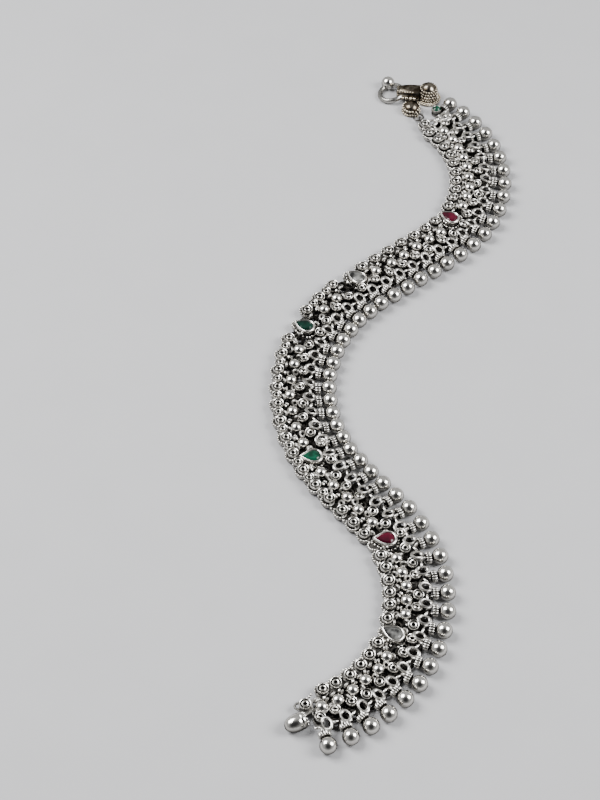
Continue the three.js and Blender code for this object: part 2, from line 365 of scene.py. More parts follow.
def grain(radius: float, tarnish: float = 0.0) -> Shape:
    """Makes one granule."""
    return ball(radius, GRAIN_SIDES, GRAIN_ROWS, tarnish)


class Casting:
    """Many copies of small shapes, gathered into one mesh."""

    def __init__(self) -> None:
        """Starts an empty casting."""
        self.points: list[np.ndarray] = []
        self.quads: list[np.ndarray] = []
        self.tris: list[np.ndarray] = []
        self.tarnish: list[np.ndarray] = []
        self.count = 0

    def add(self, shape: Shape, frames: Sequence[np.ndarray]) -> None:
        """Adds a copy of a shape at each of the frames.

        Args:
            shape: what is copied.
            frames: 4 by 4 matrices, one for each copy.
        """
        for matrix in frames:
            copy = shape.moved(matrix)
            self.points.append(copy.points)
            self.quads.append(copy.quads + self.count)
            self.tris.append(copy.tris + self.count)
            self.tarnish.append(copy.tarnish)
            self.count += len(copy.points)

    def add_grains(
        self, radius: float, centres: Iterable[np.ndarray], place: np.ndarray, tarnish: float = 0.0,
    ) -> None:
        """Adds granules at centres that are given in the frame of a place."""
        self.add(grain(radius, tarnish), [place @ shift(*centre) for centre in centres])

    def darkened(self, mesh: bpy.types.Mesh, shade: float) -> np.ndarray:
        """Gives the tarnish of all corners with painted shade added: darker on the flanks and towards the
        surface below.

        Args:
            mesh: the finished mesh, for its normals.
            shade: how much of that painted shade the piece has.

        Returns:
            A value for each corner.
        """
        normals = np.zeros(3 * self.count, np.float32)
        mesh.vertex_normals.foreach_get("vector", normals)
        slope = normals.reshape(-1, 3)[:, 2]
        flank = np.clip((SHADE_START_SLOPE - slope) / (SHADE_START_SLOPE - SHADE_FULL_SLOPE), 0.0, 1.0)
        heights = np.concatenate(self.points)[:, 2]
        depth = np.clip((SHADE_START_LEVEL - heights) / DARK_DEPTH, 0.0, 1.0)
        # Painted shade: the darker of the flank shade and the shade low down
        painted_shade = np.maximum(FLANK_SHARE * flank, DARK_SHARE * depth)
        return np.maximum(np.concatenate(self.tarnish), shade * painted_shade)

    def piece(
        self, name: str, finish: "Finish", crease: float = 40.0, shade: float = 1.0,
    ) -> bpy.types.Object:
        """Makes the gathered mesh an object with its finish.

        Args:
            name: the piece's name.
            finish: what it is made of.
            crease: edges sharper than this stay sharp.
            shade: how much painted shade darkens its flanks and its low parts.

        Returns:
            The object, in metres.
        """
        quads = np.concatenate(self.quads)
        tris = np.concatenate(self.tris)
        corners = np.concatenate([quads.ravel(), tris.ravel()])
        sizes = np.concatenate([np.full(len(quads), 4), np.full(len(tris), 3)])
        mesh = bpy.data.meshes.new(name)
        mesh.vertices.add(self.count)
        points = np.concatenate(self.points)
        points[:, 2] = np.maximum(points[:, 2], 0.0)
        mesh.vertices.foreach_set("co", (points * MM).ravel())
        mesh.loops.add(len(corners))
        mesh.loops.foreach_set("vertex_index", corners)
        mesh.polygons.add(len(sizes))
        mesh.polygons.foreach_set("loop_start", np.concatenate([[0], np.cumsum(sizes)[:-1]]))
        mesh.update(calc_edges=True)
        mesh.validate()
        mesh.polygons.foreach_set("use_smooth", np.ones(len(sizes), bool))
        mesh.set_sharp_from_angle(angle=math.radians(crease))
        values = mesh.attributes.new(SHADE_AND_TARNISH, "FLOAT", "POINT")
        values.data.foreach_set("value", self.darkened(mesh, shade))
        mesh.materials.append(finish.material())
        made = bpy.data.objects.new(name, mesh)
        bpy.context.scene.collection.objects.link(made)
        return made


class Finish:
    """A finish that makes its material once."""

    name: str

    def material(self) -> bpy.types.Material:
        """Gives the material, and makes it at the first call.

        Returns:
            The material.
        """
        known = bpy.data.materials.get(self.name)
        if known is not None:
            return known
        made = bpy.data.materials.new(self.name)
        made.use_nodes = True
        self.paint(made.node_tree)
        return made

    def paint(self, tree: bpy.types.NodeTree) -> None:
        """Builds the nodes of the material."""
        raise NotImplementedError


def node(tree: bpy.types.NodeTree, kind: str, **values: object) -> bpy.types.Node:
    """Adds a node to a tree.

    Args:
        tree: the material's or the world's tree.
        kind: the node's type name.
        values: properties, or inputs where the name is that of a socket.

    Returns:
        The node.
    """
    made = tree.nodes.new(kind)
    for name, value in values.items():
        socket = made.inputs.get(name.replace("_", " "))
        if socket is None:
            setattr(made, name, value)
        else:
            socket.default_value = value
    return made


def noise(tree: bpy.types.NodeTree, scale: float, detail: float) -> bpy.types.NodeSocket:
    """Adds a noise in object coordinates and gives its value.

    Args:
        tree: the tree that takes the nodes.
        scale: how fine the noise is.
        detail: how many finer layers it has.

    Returns:
        The socket of the result.
    """
    coords = node(tree, "ShaderNodeTexCoord")
    made = node(tree, "ShaderNodeTexNoise", Scale=scale, Detail=detail)
    tree.links.new(coords.outputs["Object"], made.inputs["Vector"])
    return made.outputs[0]


def spread(
    tree: bpy.types.NodeTree, value: bpy.types.NodeSocket, low: float, high: float,
    start: float = 0.0, end: float = 1.0,
) -> bpy.types.NodeSocket:
    """Maps a value from start and end onto low and high, and stops there.

    Args:
        tree: the tree that takes the nodes.
        value: the value to map.
        low: result at the start.
        high: result at the end.
        start: value that gives the low result.
        end: value that gives the high result.

    Returns:
        The socket of the result.
    """
    made = node(tree, "ShaderNodeMapRange")
    for index, number in enumerate((start, end, low, high), start=1):
        made.inputs[index].default_value = number
    tree.links.new(value, made.inputs[0])
    return made.outputs[0]


def add(tree: bpy.types.NodeTree, *values: bpy.types.NodeSocket) -> bpy.types.NodeSocket:
    """Adds up values.

    Args:
        tree: the tree that takes the nodes.
        values: what is added up.

    Returns:
        The socket of the result.
    """
    total = values[0]
    for value in values[1:]:
        made = node(tree, "ShaderNodeMath", operation="ADD")
        tree.links.new(total, made.inputs[0])
        tree.links.new(value, made.inputs[1])
        total = made.outputs[0]
    return total


def blend(
    tree: bpy.types.NodeTree, share: bpy.types.NodeSocket, first: Sequence[float], second: Sequence[float],
) -> bpy.types.NodeSocket:
    """Mixes two colours by a share from 0 to 1.

    Args:
        tree: the tree that takes the nodes.
        share: 0 for the first colour, 1 for the second.
        first: one colour.
        second: the other colour.

    Returns:
        The socket of the result.
    """
    made = node(tree, "ShaderNodeMix", data_type="RGBA")
    colours = [socket for socket in made.inputs if socket.type == "RGBA"]
    colours[0].default_value = (*first, 1.0)
    colours[1].default_value = (*second, 1.0)
    tree.links.new(share, made.inputs[0])
    return next(socket for socket in made.outputs if socket.type == "RGBA")


@dataclass(frozen=True)
class Silver(Finish):
    """Silver that is bright where it is rubbed and black where it is tarnished or darkened by painted shade.

    Attributes:
        name: name of the material.
        bright: colour of the rubbed metal.
        black: colour of the tarnish and of the painted shade.
        gloss: roughness of the rubbed metal.
        dullness: roughness of the tarnish.
        stain: how far patches of tarnish reach onto the bright metal.
        dents: depth of the small dents.
    """

    name: str
    bright: tuple[float, float, float]
    black: tuple[float, float, float] = (0.022, 0.020, 0.018)
    gloss: float = 0.12
    dullness: float = 0.42
    stain: float = 0.25
    dents: float = 0.12

    PATCH_SCALE = 420.0
    DENT_SCALE = 1500.0
    SCRATCH_SCALE = 5200.0
    BUMP_DISTANCE = 0.0002
    EDGE_TINT = (0.22, 0.22, 0.22, 1.0)
    COARSE_DETAIL = 3.0
    FINE_DETAIL = 2.0
    NOISE_MIDDLE = (0.3, 0.7)
    SHADE_AND_TARNISH_RANGE = (0.05, 0.95)
    SCRATCH_ROUGHNESS = (-0.05, 0.06)

    def paint(self, tree: bpy.types.NodeTree) -> None:
        """Mixes bright and black by the mesh's tarnish with its painted shade, and by patches.

        Args:
            tree: the tree that takes the nodes.
        """
        shader = tree.nodes["Principled BSDF"]
        shader.inputs["Metallic"].default_value = 1.0
        shader.inputs["Specular Tint"].default_value = self.EDGE_TINT
        shade_and_tarnish_attribute = node(tree, "ShaderNodeAttribute", attribute_name=SHADE_AND_TARNISH)
        clouds = noise(tree, self.PATCH_SCALE, self.COARSE_DETAIL)
        patches = spread(tree, clouds, -self.stain, self.stain, *self.NOISE_MIDDLE)
        # The mesh's tarnish with its painted shade, spread by the patches, sets the colour from bright to
        # black
        shade_and_tarnish = spread(tree, add(tree, shade_and_tarnish_attribute.outputs["Fac"], patches), 0.0, 1.0, *self.SHADE_AND_TARNISH_RANGE)
        tree.links.new(blend(tree, shade_and_tarnish, self.bright, self.black), shader.inputs["Base Color"])
        scratches = noise(tree, self.SCRATCH_SCALE, self.FINE_DETAIL)
        rough = add(
            tree,
            spread(tree, shade_and_tarnish, self.gloss, self.dullness),
            spread(tree, scratches, *self.SCRATCH_ROUGHNESS, *self.NOISE_MIDDLE),
        )
        tree.links.new(rough, shader.inputs["Roughness"])
        bump = node(tree, "ShaderNodeBump", Strength=self.dents, Distance=self.BUMP_DISTANCE)
        tree.links.new(noise(tree, self.DENT_SCALE, self.FINE_DETAIL), bump.inputs["Height"])
        tree.links.new(bump.outputs["Normal"], shader.inputs["Normal"])


@dataclass(frozen=True)
class Gem(Finish):
    """A cut stone on foil.

    Attributes:
        name: name of the material.
        deep: colour where the stone is dark.
        lit: colour where light comes back out of it.
        clearness: how much light passes through.
    """

    name: str
    deep: tuple[float, float, float]
    lit: tuple[float, float, float]
    clearness: float = 0.0

    CLOUD_SCALE = 520.0
    CLOUD_RANGE = (0.35, 0.7)
    HAZE_SCALE = 2080.0
    DETAIL = 2.0
    GLOSS = 0.06
    HAZED_GLOSS = 0.11
    INDEX = 1.6
    SHINE = 0.25

    def paint(self, tree: bpy.types.NodeTree) -> None:
        """Mixes the two colours in soft clouds under a smooth polish.

        Args:
            tree: the tree that takes the nodes.
        """
        shader = tree.nodes["Principled BSDF"]
        shader.inputs["IOR"].default_value = self.INDEX
        shader.inputs["Transmission Weight"].default_value = self.clearness
        shader.inputs["Specular IOR Level"].default_value = self.SHINE
        clouds = spread(tree, noise(tree, self.CLOUD_SCALE, self.DETAIL), 0.0, 1.0, *self.CLOUD_RANGE)
        tree.links.new(blend(tree, clouds, self.deep, self.lit), shader.inputs["Base Color"])
        haze = spread(tree, noise(tree, self.HAZE_SCALE, self.DETAIL), self.GLOSS, self.HAZED_GLOSS)
        tree.links.new(haze, shader.inputs["Roughness"])


SILVER_COLOUR = (0.85, 0.825, 0.775)
WARM_COLOUR = (0.76, 0.68, 0.55)
WARM_BLACK = (0.045, 0.034, 0.022)
POLISHED = Silver(
    "polished_silver_metal", SILVER_COLOUR, gloss=0.14, dullness=0.38, stain=0.08, dents=0.05,
)
OXIDISED = Silver(
    "oxidised_silver_metal", SILVER_COLOUR, gloss=0.24, dullness=0.46, stain=0.1, dents=0.06,
)
WARM = Silver(
    "warm_silver_metal", WARM_COLOUR, black=WARM_BLACK, gloss=0.16, dullness=0.24, stain=0.25,
)
RED = Gem("red_gem", (0.028, 0.001, 0.006), (0.075, 0.002, 0.013))
GREEN = Gem("green_gem", (0.002, 0.024, 0.013), (0.004, 0.085, 0.045))
DARK_GREEN = Gem("dark_green_gem", (0.001, 0.009, 0.006), (0.002, 0.028, 0.017))
CLEAR = Gem("clear_gem", (0.012, 0.012, 0.012), (0.22, 0.22, 0.21), clearness=0.1)


class Stone(Enum):
    """Colours of the pear stones."""

    RED = "red"
    GREEN = "green"
    DARK_GREEN = "dark green"
    CLEAR = "clear"

    @property
    def gem(self) -> Gem:
        """The stone's finish."""
        gems = {Stone.RED: RED, Stone.GREEN: GREEN, Stone.DARK_GREEN: DARK_GREEN, Stone.CLEAR: CLEAR}
        return gems[self]

    @property
    def slot(self) -> Slot:
        """The record's slot of the stone."""
        return {Stone.RED: Slot.RED, Stone.CLEAR: Slot.CLEAR}.get(self, Slot.GREEN)


def mount(piece: bpy.types.Object, slot: Slot, *nodes: str) -> bpy.types.Object:
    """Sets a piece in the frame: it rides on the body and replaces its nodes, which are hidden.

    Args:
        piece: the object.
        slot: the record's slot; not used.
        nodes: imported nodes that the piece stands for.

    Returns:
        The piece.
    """
    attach(piece, BODY)
    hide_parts(*nodes)
    return piece


@dataclass(frozen=True)
class Band:
    """The link line that the anklet lies along, and the columns across it.

    Attributes:
        start: where the line starts at the clasp.
        heading: its first direction.
        arcs: length and left turn of each arc.
        columns: number of columns.
        first: station of the first column.
        pitch: distance between columns.
    """

    start: tuple[float, float] = (14.58, 103.82)
    heading: float = -40.0
    arcs: tuple[tuple[float, float], ...] = ((67, -101), (27.5, 0), (73, 90), (15, 0), (79, -113))
    columns: int = 53
    first: float = 1.0
    pitch: float = 4.96

    @property
    def length(self) -> float:
        """Length of the line."""
        return sum(length for length, _ in self.arcs)

    @property
    def last(self) -> int:
        """Number of the last column."""
        return self.columns - 1

    def column(self, index: float) -> float:
        """Gives the station of a column."""
        return self.first + index * self.pitch

    def stand(self, station: float, offset: float, height: float = 0.0, yaw: float = 0.0) -> np.ndarray:
        """Gives the frame at a place: X along the band, Y towards the bells, Z up.

        Args:
            station: distance along the line, straight on before its start and past its end.
            offset: distance across the line towards the bells.
            height: above the surface.
            yaw: extra turn about Z.

        Returns:
            A 4 by 4 matrix.
        """
        x, y = self.start
        heading = math.radians(self.heading)
        left = station
        for length, turn in self.arcs:
            part = max(0.0, min(left, length))
            half = math.radians(turn) * part / length / 2
            chord = part if half == 0 else part * math.sin(half) / half
            x += chord * math.cos(heading + half)
            y += chord * math.sin(heading + half)
            heading += 2 * half
            left -= part
        x += left * math.cos(heading)
        y += left * math.sin(heading)
        return (
            shift(x, y, height) @ rotation("z", math.degrees(heading))
            @ shift(0.0, offset) @ rotation("z", yaw)
        )

    def point(self, station: float, offset: float, height: float = 0.0) -> np.ndarray:
        """Gives a point of the band."""
        return self.stand(station, offset, height)[:3, 3]


def aim(start: np.ndarray, end: np.ndarray) -> np.ndarray:
    """Gives the frame at start whose X axis runs level towards end."""
    run = end - start
    return shift(*start) @ rotation("z", math.degrees(math.atan2(run[1], run[0])))


# Turns that lay a piece's own +Z axis along +Y or +X
ALONG_Y = rotation("x", -90.0)
ALONG_X = rotation("y", 90.0)

BAND = Band()

# The stud that the clasp's jump ring pulls on
FIRST_STUD = Stop(1.15, -7.2)


@dataclass(frozen=True)
class PearPlace:
    """Where a pear setting sits and which stone it holds."""

    name: str
    stone: Stone
    column: float
    offset: float
    yaw: float


PEARS = (
    PearPlace("red_upper", Stone.RED, 11, -6.9, 0.0),
    PearPlace("clear_upper", Stone.CLEAR, 18.8, -7.0, 15.0),
    PearPlace("green_upper", Stone.DARK_GREEN, 23, -6.9, 0.0),
    PearPlace("green_lower", Stone.GREEN, 31.5, -5.3, -25.0),
    PearPlace("red_lower", Stone.RED, 38, -5.8, -30.0),
    PearPlace("clear_lower", Stone.CLEAR, 45, -6.9, -8.0),
)


def near_pear(column: float, clearance: float) -> bool:
    """Says whether a pear setting is nearer to a column than a clearance in columns."""
    return any(abs(place.column - column) < clearance for place in PEARS)


# Bullseye stud of unit height and radius, from its foot to the bottom of its hole
BULLSEYE = (
    Turn(0.0, 0.0, 0.9),
    Turn(0.88, 0.0, 0.9),
    Turn(0.97, 0.05, 0.6),
    Turn(0.99, 0.14, 0.4),
    Turn(0.94, 0.22, 0.7),
    Turn(0.80, 0.27, 1.0),
    Turn(0.75, 0.43, 1.0),
    Turn(0.78, 0.62, 1.0),
    Turn(0.93, 0.70, 0.6),
    Turn(1.00, 0.77, 0.15),
    Turn(1.02, 0.87, 0.0),
    Turn(0.99, 0.96, 0.0),
    Turn(0.92, 1.0, 0.0),
    Turn(0.84, 0.98, 0.05),
    Turn(0.79, 0.91, 0.9),
    Turn(0.77, 0.78, 1.0),
    Turn(0.64, 0.78, 1.0),
    Turn(0.62, 0.92, 0.8),
    Turn(0.57, 0.99, 0.0),
    Turn(0.47, 1.02, 0.0),
    Turn(0.36, 1.0, 0.05),
    Turn(0.30, 0.93, 0.8),
    Turn(0.28, 0.72, 1.0),
    Turn(0.0, 0.68, 1.0),
)


def bullseye(radius: float, height: float) -> Shape:
    """Makes a bullseye stud that stands on the origin."""
    return turned(sized(BULLSEYE, radius, height), STUD_SIDES)


@dataclass
class StudRow:
    """Bullseye studs of the outer edge on their scalloped plates."""

    offset: float = -9.1
    radius: float = 1.5
    height: float = 3.0
    wire_offset: float = -7.9
    wire: float = 0.35
    wire_height: float = 0.6
    plate_radius: float = 1.78
    plate_out: float = 0.3
    plate_height: float = 1.75
    grain_radius: float = 0.33
    grains: int = 7
    small_most: float = 1.35
    small_least: float = 1.15
    small_less: float = 1.4
    small_height: float = 2.7
    tilt: float = 5.0
    pear_clearance: float = 0.5
    widest_gap: float = 1.5
    seed: int = 5
    stud_shade: float = 0.65
    plate_shade: float = 0.7

    # Size of a plate between two studs, as shares of a stud's plate
    BETWEEN = (0.8, 0.8, 0.9)

    PLATE = (
        Turn(0.0, 0.2, 1.0),
        Turn(0.80, 0.2, 1.0),
        Turn(0.96, 0.32, 0.9),
        Turn(1.00, 0.52, 0.5),
        Turn(0.97, 0.70, 0.5),
        Turn(0.88, 0.80, 0.8),
        Turn(0.75, 0.83, 0.85),
        Turn(0.0, 0.83, 0.95),
    )

    # Where the granules stand on a plate: the arc in degrees, and the share of the plate's height
    GRAIN_ARC = (200.0, 340.0)
    GRAIN_RISE = 1.05

    def stops(self) -> list[Stop]:
        """Lists the studs' places, without the columns of the settings."""
        columns = [c for c in range(1, BAND.last) if not near_pear(c, self.pear_clearance)]
        return [FIRST_STUD, *[Stop(BAND.column(column), self.offset) for column in columns]]

    def build(self) -> list[bpy.types.Object]:
        """Builds the studs and the plates."""
        return [self.studs(), self.plates()]

    def studs(self) -> bpy.types.Object:
        """Builds the studs, each tilted a little in its own way.

        Returns:
            The piece.
        """
        draw = np.random.default_rng(self.seed)
        casting = Casting()
        shape = bullseye(self.radius, self.height)
        for stop in self.stops():
            casting.add(shape, [BAND.stand(*stop) @ leaning(draw, self.tilt)])
        made = casting.piece("bullseye_studs", OXIDISED, shade=self.stud_shade)
        return mount(made, Slot.OXIDISED, "stud_row")

    def rim(self, radius: float, count: int) -> np.ndarray:
        """Lists the granules on the outer edge of a plate, in the plate's frame."""
        angles = np.radians(np.linspace(*self.GRAIN_ARC, count))
        return on_circle(radius, angles, self.plate_height * self.GRAIN_RISE)

    def plates(self) -> bpy.types.Object:
        """Builds the rounded plates under and between the studs, with granules on their outer edge.

        Returns:
            The piece.
        """
        casting = Casting()
        radius = self.plate_radius
        plate = turned(sized(self.PLATE, radius, self.plate_height), STUD_SIDES)
        between = plate.moved(resize(*self.BETWEEN))
        between_radius = self.BETWEEN[0] * radius
        for stop in self.stops():
            place = BAND.stand(stop.station, stop.offset - self.plate_out)
            casting.add(plate, [place])
            casting.add_grains(self.grain_radius, self.rim(radius, self.grains), place)
        for stop, following in zip(self.stops(), self.stops()[1:]):
            if following.station - stop.station < self.widest_gap * BAND.pitch:
                middle = (stop.station + following.station) / 2
                place = BAND.stand(middle, (stop.offset + following.offset) / 2)
                casting.add(between, [place])
                casting.add_grains(self.grain_radius, self.rim(between_radius, self.grains // 2), place)
                gap = np.linalg.norm(BAND.point(*stop) - BAND.point(*following))
                small = min(self.small_most, gap / 2 - self.small_less)
                if small > self.small_least:
                    casting.add(bullseye(small, self.small_height), [place])
        for column in [c for c in range(1, BAND.last) if near_pear(c, self.pear_clearance)]:
            stations = [BAND.column(column + step) for step in (-1, 0, 1)]
            offsets = (self.offset, self.wire_offset, self.offset)
            path = [BAND.point(s, o, self.wire_height) for s, o in zip(stations, offsets)]
            wire = tube(np.array(path), self.wire, closed=False, tarnish=DEEP_TARNISH)
            casting.add(wire, [np.eye(4)])
            place = BAND.stand(BAND.column(column), self.offset)
            casting.add(between, [place])
            casting.add_grains(self.grain_radius, self.rim(between_radius, self.grains), place)
        made = casting.piece("edge_plates", OXIDISED, shade=self.plate_shade)
        return mount(made, Slot.OXIDISED, "stud_row")


@dataclass
class BeadRow:
    """Round beads, the wire through them and the small links beside them."""

    offset: float = -5.3
    radius: float = 1.68
    thread: float = 0.25
    eyelet_radius: float = 0.7
    eyelet_wire: float = 0.34
    sway: float = 0.25
    yaw: float = 18.0
    first_bead: float = 1.5
    thread_step: float = 1.0
    pear_clearance: float = 1.0
    link_height: float = 1.9
    first_link: float = 0.85
    pear_gap: float = 0.9
    eyelet_yaw: float = 20.0
    eyelet_rise: float = 60.0
    eyelet_tilt: float = 25.0
    spacer_yaw: float = 30.0
    seed: int = 8
    bead_shade: float = 0.4
    link_shade: float = 0.65

    BEAD = (
        Turn(0.0, -0.82, 1.0),
        Turn(0.22, -0.84, 1.0),
        Turn(0.28, -0.93, 0.7),
        Turn(0.38, -0.925, 0.2),
    )
    BEAD_ROWS = 12

    # Eyelets by a bead: along, across and yaw
    EYELETS = ((0.5, -2.15, 20.0), (2.4, 0.9, 75.0))

    # Spacers by a bead: along, across and yaw
    SPACERS = ((-2.05, -1.55, 15.0),)
    SPACER = (
        Turn(0.0, -0.72, 0.9),
        Turn(0.42, -0.72, 0.5),
        Turn(0.6, -0.6, 0.0),
        Turn(0.64, -0.3, 0.0),
        Turn(0.5, -0.12, 0.9),
        Turn(0.5, 0.12, 0.9),
        Turn(0.64, 0.3, 0.0),
        Turn(0.6, 0.6, 0.0),
        Turn(0.42, 0.72, 0.5),
        Turn(0.0, 0.72, 0.9),
    )

    def build(self) -> list[bpy.types.Object]:
        """Builds the beads and their links."""
        return [self.beads(), self.links()]

    def columns(self) -> list[float]:
        """Lists the places of the beads, half a column on from the studs."""
        halves = np.arange(self.first_bead, BAND.last)
        return [column for column in halves if not near_pear(column, self.pear_clearance)]

    def bead(self) -> Shape:
        """Makes one drilled bead with its hole along X.

        Returns:
            The shape.
        """
        flank = math.atan2(self.BEAD[-1].radius, -self.BEAD[-1].along)
        angles = np.linspace(flank, math.pi - flank, self.BEAD_ROWS)
        round_part = [Turn(math.sin(angle), -math.cos(angle), 0.0) for angle in angles]
        near = list(self.BEAD[:-1])
        far = [Turn(turn.radius, -turn.along, turn.tarnish) for turn in reversed(near)]
        profile = sized(near + round_part + far, self.radius, self.radius)
        return turned(profile, BEAD_SIDES).moved(ALONG_X)

    def beads(self) -> bpy.types.Object:
        """Builds the beads on the wire that carries them.

        Returns:
            The piece.
        """
        draw = np.random.default_rng(self.seed)
        casting = Casting()
        shape = self.bead()
        for column in self.columns():
            sway = draw.uniform(-self.sway, self.sway, 2)
            yaw = draw.uniform(-self.yaw, self.yaw)
            place = BAND.stand(BAND.column(column) + sway[0], self.offset + sway[1], self.radius, yaw)
            casting.add(shape, [place])
        end = BAND.column(BAND.last - self.first_bead)
        stations = np.arange(BAND.column(self.first_bead), end, self.thread_step)
        path = np.array([BAND.point(station, self.offset, self.radius) for station in stations])
        casting.add(tube(path, self.thread, closed=False, tarnish=DEEP_TARNISH), [np.eye(4)])
        made = casting.piece("round_beads", POLISHED, shade=self.bead_shade)
        return mount(made, Slot.POLISHED, "bead_row")

    def links(self) -> bpy.types.Object:
        """Builds the eyelets between the beads and their neighbours.

        Returns:
            The piece.
        """
        draw = np.random.default_rng(self.seed + 1)
        casting = Casting()
        eyelet = hoop(self.eyelet_radius, self.eyelet_wire, SMALL_HOOP_STEPS)
        spacer = turned(self.SPACER, STUD_SIDES // 2).moved(ALONG_Y)
        beside = [place.column + side for place in PEARS for side in (-self.pear_gap, self.pear_gap)]
        for column in [self.first_link, *self.columns(), *beside]:
            station = BAND.column(column)
            for along, across, yaw in self.EYELETS:
                turn = rotation("z", yaw + draw.uniform(-self.eyelet_yaw, self.eyelet_yaw))
                rise = self.eyelet_rise + draw.uniform(-self.eyelet_tilt, self.eyelet_tilt)
                place = BAND.stand(station + along, self.offset + across, self.link_height)
                casting.add(eyelet, [place @ turn @ rotation("x", rise)])
            for along, across, yaw in self.SPACERS:
                turn = rotation("z", yaw + draw.uniform(-self.spacer_yaw, self.spacer_yaw))
                place = BAND.stand(station + along, self.offset + across, self.link_height)
                casting.add(spacer, [place @ turn])
        made = casting.piece("bead_links", OXIDISED, shade=self.link_shade)
        return mount(made, Slot.OXIDISED, "bead_row")


@dataclass
class LinkBand:
    """Inner studs and the interlocked wire loops that hang from them."""

    offset: float = -2.7
    radius: float = 1.42
    height: float = 2.6
    tilt: float = 14.0
    loop_radius: float = 1.28
    loop_wire: float = 0.4
    loop_along: float = -1.6
    first_loop: float = 3.4
    loop_offset: float = -0.35
    loop_height: float = 2.3
    leaf_size: tuple[float, float, float] = (0.95, 0.4, 0.4)
    leaf_along: float = 1.35
    leaf_offset: float = -0.1
    leaf_height: float = 2.2
    link_radius: float = 0.95
    link_wire: float = 0.38
    link_offset: float = 0.95
    link_height: float = 1.7
    pear_reach: float = 4.4
    pear_clearance: float = 0.7
    first_stud: float = 2.9
    first_link: float = 2.6
    end_room: float = 1.6
    stud_sway: float = 0.3
    loop_back: tuple[float, float] = (-22.0, 2.0)
    loop_tilt: float = 14.0
    leaf_yaw: float = 40.0
    link_yaw: float = 22.0
    link_tilt: float = 20.0
    link_steps: int = 18
    end_yaw: float = 60.0
    end_tilt: float = 20.0
    bright: float = 0.05
    base_radius: float = 1.2
    base_wire: float = 0.42
    base_height: float = 0.55
    base_rise: float = 0.3
    base_tilt: float = 9.0
    base_steps: int = 12
    base_step: float = 0.5
    # Near black of the base links: painted shade for the dark gaps under the band
    base_painted_shade: float = 0.97
    seed: int = 12
    stud_shade: float = 0.65
    loop_shade: float = 0.4

    LOOP_SHAPE = (0.88, 1.18, 1.0)

    # More loops where the band begins, and where it ends
    FIRST_LOOPS = (Stop(2.3, -4.9), Stop(4.4, -4.3))
    LAST_LOOPS = (Stop(-3.9, -6.4), Stop(-5.4, -5.2))
    BASE_OFFSETS = (-8.2, -6.6, -5.0, -3.4, -1.8, -0.4)

    def build(self) -> list[bpy.types.Object]:
        """Builds the inner studs, the loops and the base links."""
        return [self.studs(), self.loops(), self.base()]

    def base(self) -> bpy.types.Object:
        """Builds the links that lie under the band like mail, two to a column, painted near black as the
        shade in the gaps between the parts.

        Returns:
            The piece.
        """
        draw = np.random.default_rng(self.seed + 2)
        shape = hoop(self.base_radius, self.base_wire, self.base_steps, self.base_painted_shade)
        casting = Casting()
        for column in np.arange(self.base_step, BAND.last - self.base_step, self.base_step):
            station = BAND.column(column)
            for row, offset in enumerate(self.BASE_OFFSETS):
                slant = leaning(draw, self.base_tilt)
                height = self.base_height + self.base_rise * (row % 2)
                stagger = BAND.pitch / 4 * (row % 2)
                casting.add(shape, [BAND.stand(station + stagger, offset, height) @ slant])
        made = casting.piece("base_links", OXIDISED)
        return mount(made, Slot.OXIDISED, "link_band")

    def stop(self, column: int) -> Stop:
        """Gives the place of a column's inner stud, pushed aside by a setting.

        Args:
            column: number of the column.

        Returns:
            The place.
        """
        station = max(self.first_stud, min(BAND.column(column), BAND.length - self.end_room))
        push = 0.0
        for place in PEARS:
            if abs(place.column - column) < self.pear_clearance:
                push = max(push, place.offset + self.pear_reach - self.offset)
        return Stop(station, self.offset + push)

    def studs(self) -> bpy.types.Object:
        """Builds the inner studs, which lean more freely than the outer ones.

        Returns:
            The piece.
        """
        draw = np.random.default_rng(self.seed)
        casting = Casting()
        shape = bullseye(self.radius, self.height)
        for column in range(BAND.columns):
            lean = leaning(draw, self.tilt)
            sway = draw.uniform(-self.stud_sway, self.stud_sway)
            stop = self.stop(column)
            casting.add(shape, [BAND.stand(stop.station + sway, stop.offset) @ lean])
        made = casting.piece("inner_studs", OXIDISED, shade=self.stud_shade)
        return mount(made, Slot.OXIDISED, "link_band")

    def loops(self) -> bpy.types.Object:
        """Builds the loop of each inner stud and the upright link that hangs the bell from it.

        Returns:
            The piece.
        """
        draw = np.random.default_rng(self.seed + 1)
        casting = Casting()
        loop = hoop(self.loop_radius, self.loop_wire, tarnish=self.bright).moved(resize(*self.LOOP_SHAPE))
        link = hoop(self.link_radius, self.link_wire, self.link_steps, self.bright)
        leaf = grain(1.0).moved(resize(*self.leaf_size))
        for column in range(BAND.columns):
            station = min(max(BAND.column(column), self.first_link), BAND.length - self.end_room)
            back = rotation("x", draw.uniform(*self.loop_back))
            slant = back @ rotation("y", draw.uniform(-self.loop_tilt, self.loop_tilt))
            along = max(station + self.loop_along, self.first_loop)
            place = BAND.stand(along, self.loop_offset, self.loop_height)
            casting.add(loop, [place @ slant])
            turn = rotation("z", draw.uniform(-self.leaf_yaw, self.leaf_yaw))
            along = min(station + self.leaf_along, BAND.length - self.end_room)
            casting.add(leaf, [BAND.stand(along, self.leaf_offset, self.leaf_height) @ turn])
            swing = rotation("z", draw.uniform(-self.link_yaw, self.link_yaw))
            swing = swing @ rotation("y", 90.0 + draw.uniform(-self.link_tilt, self.link_tilt))
            casting.add(link, [BAND.stand(station, self.link_offset, self.link_height) @ swing])
        last = [Stop(BAND.length + stop.station, stop.offset) for stop in self.LAST_LOOPS]
        for stop in [*self.FIRST_LOOPS, *last]:
            slant = rotation("z", draw.uniform(-self.end_yaw, self.end_yaw))
            slant = slant @ rotation("x", draw.uniform(-self.end_tilt, self.end_tilt))
            casting.add(loop, [BAND.stand(*stop, self.link_height) @ slant])
        made = casting.piece("wire_loops", OXIDISED, shade=self.loop_shade)
        return mount(made, Slot.OXIDISED, "link_band")


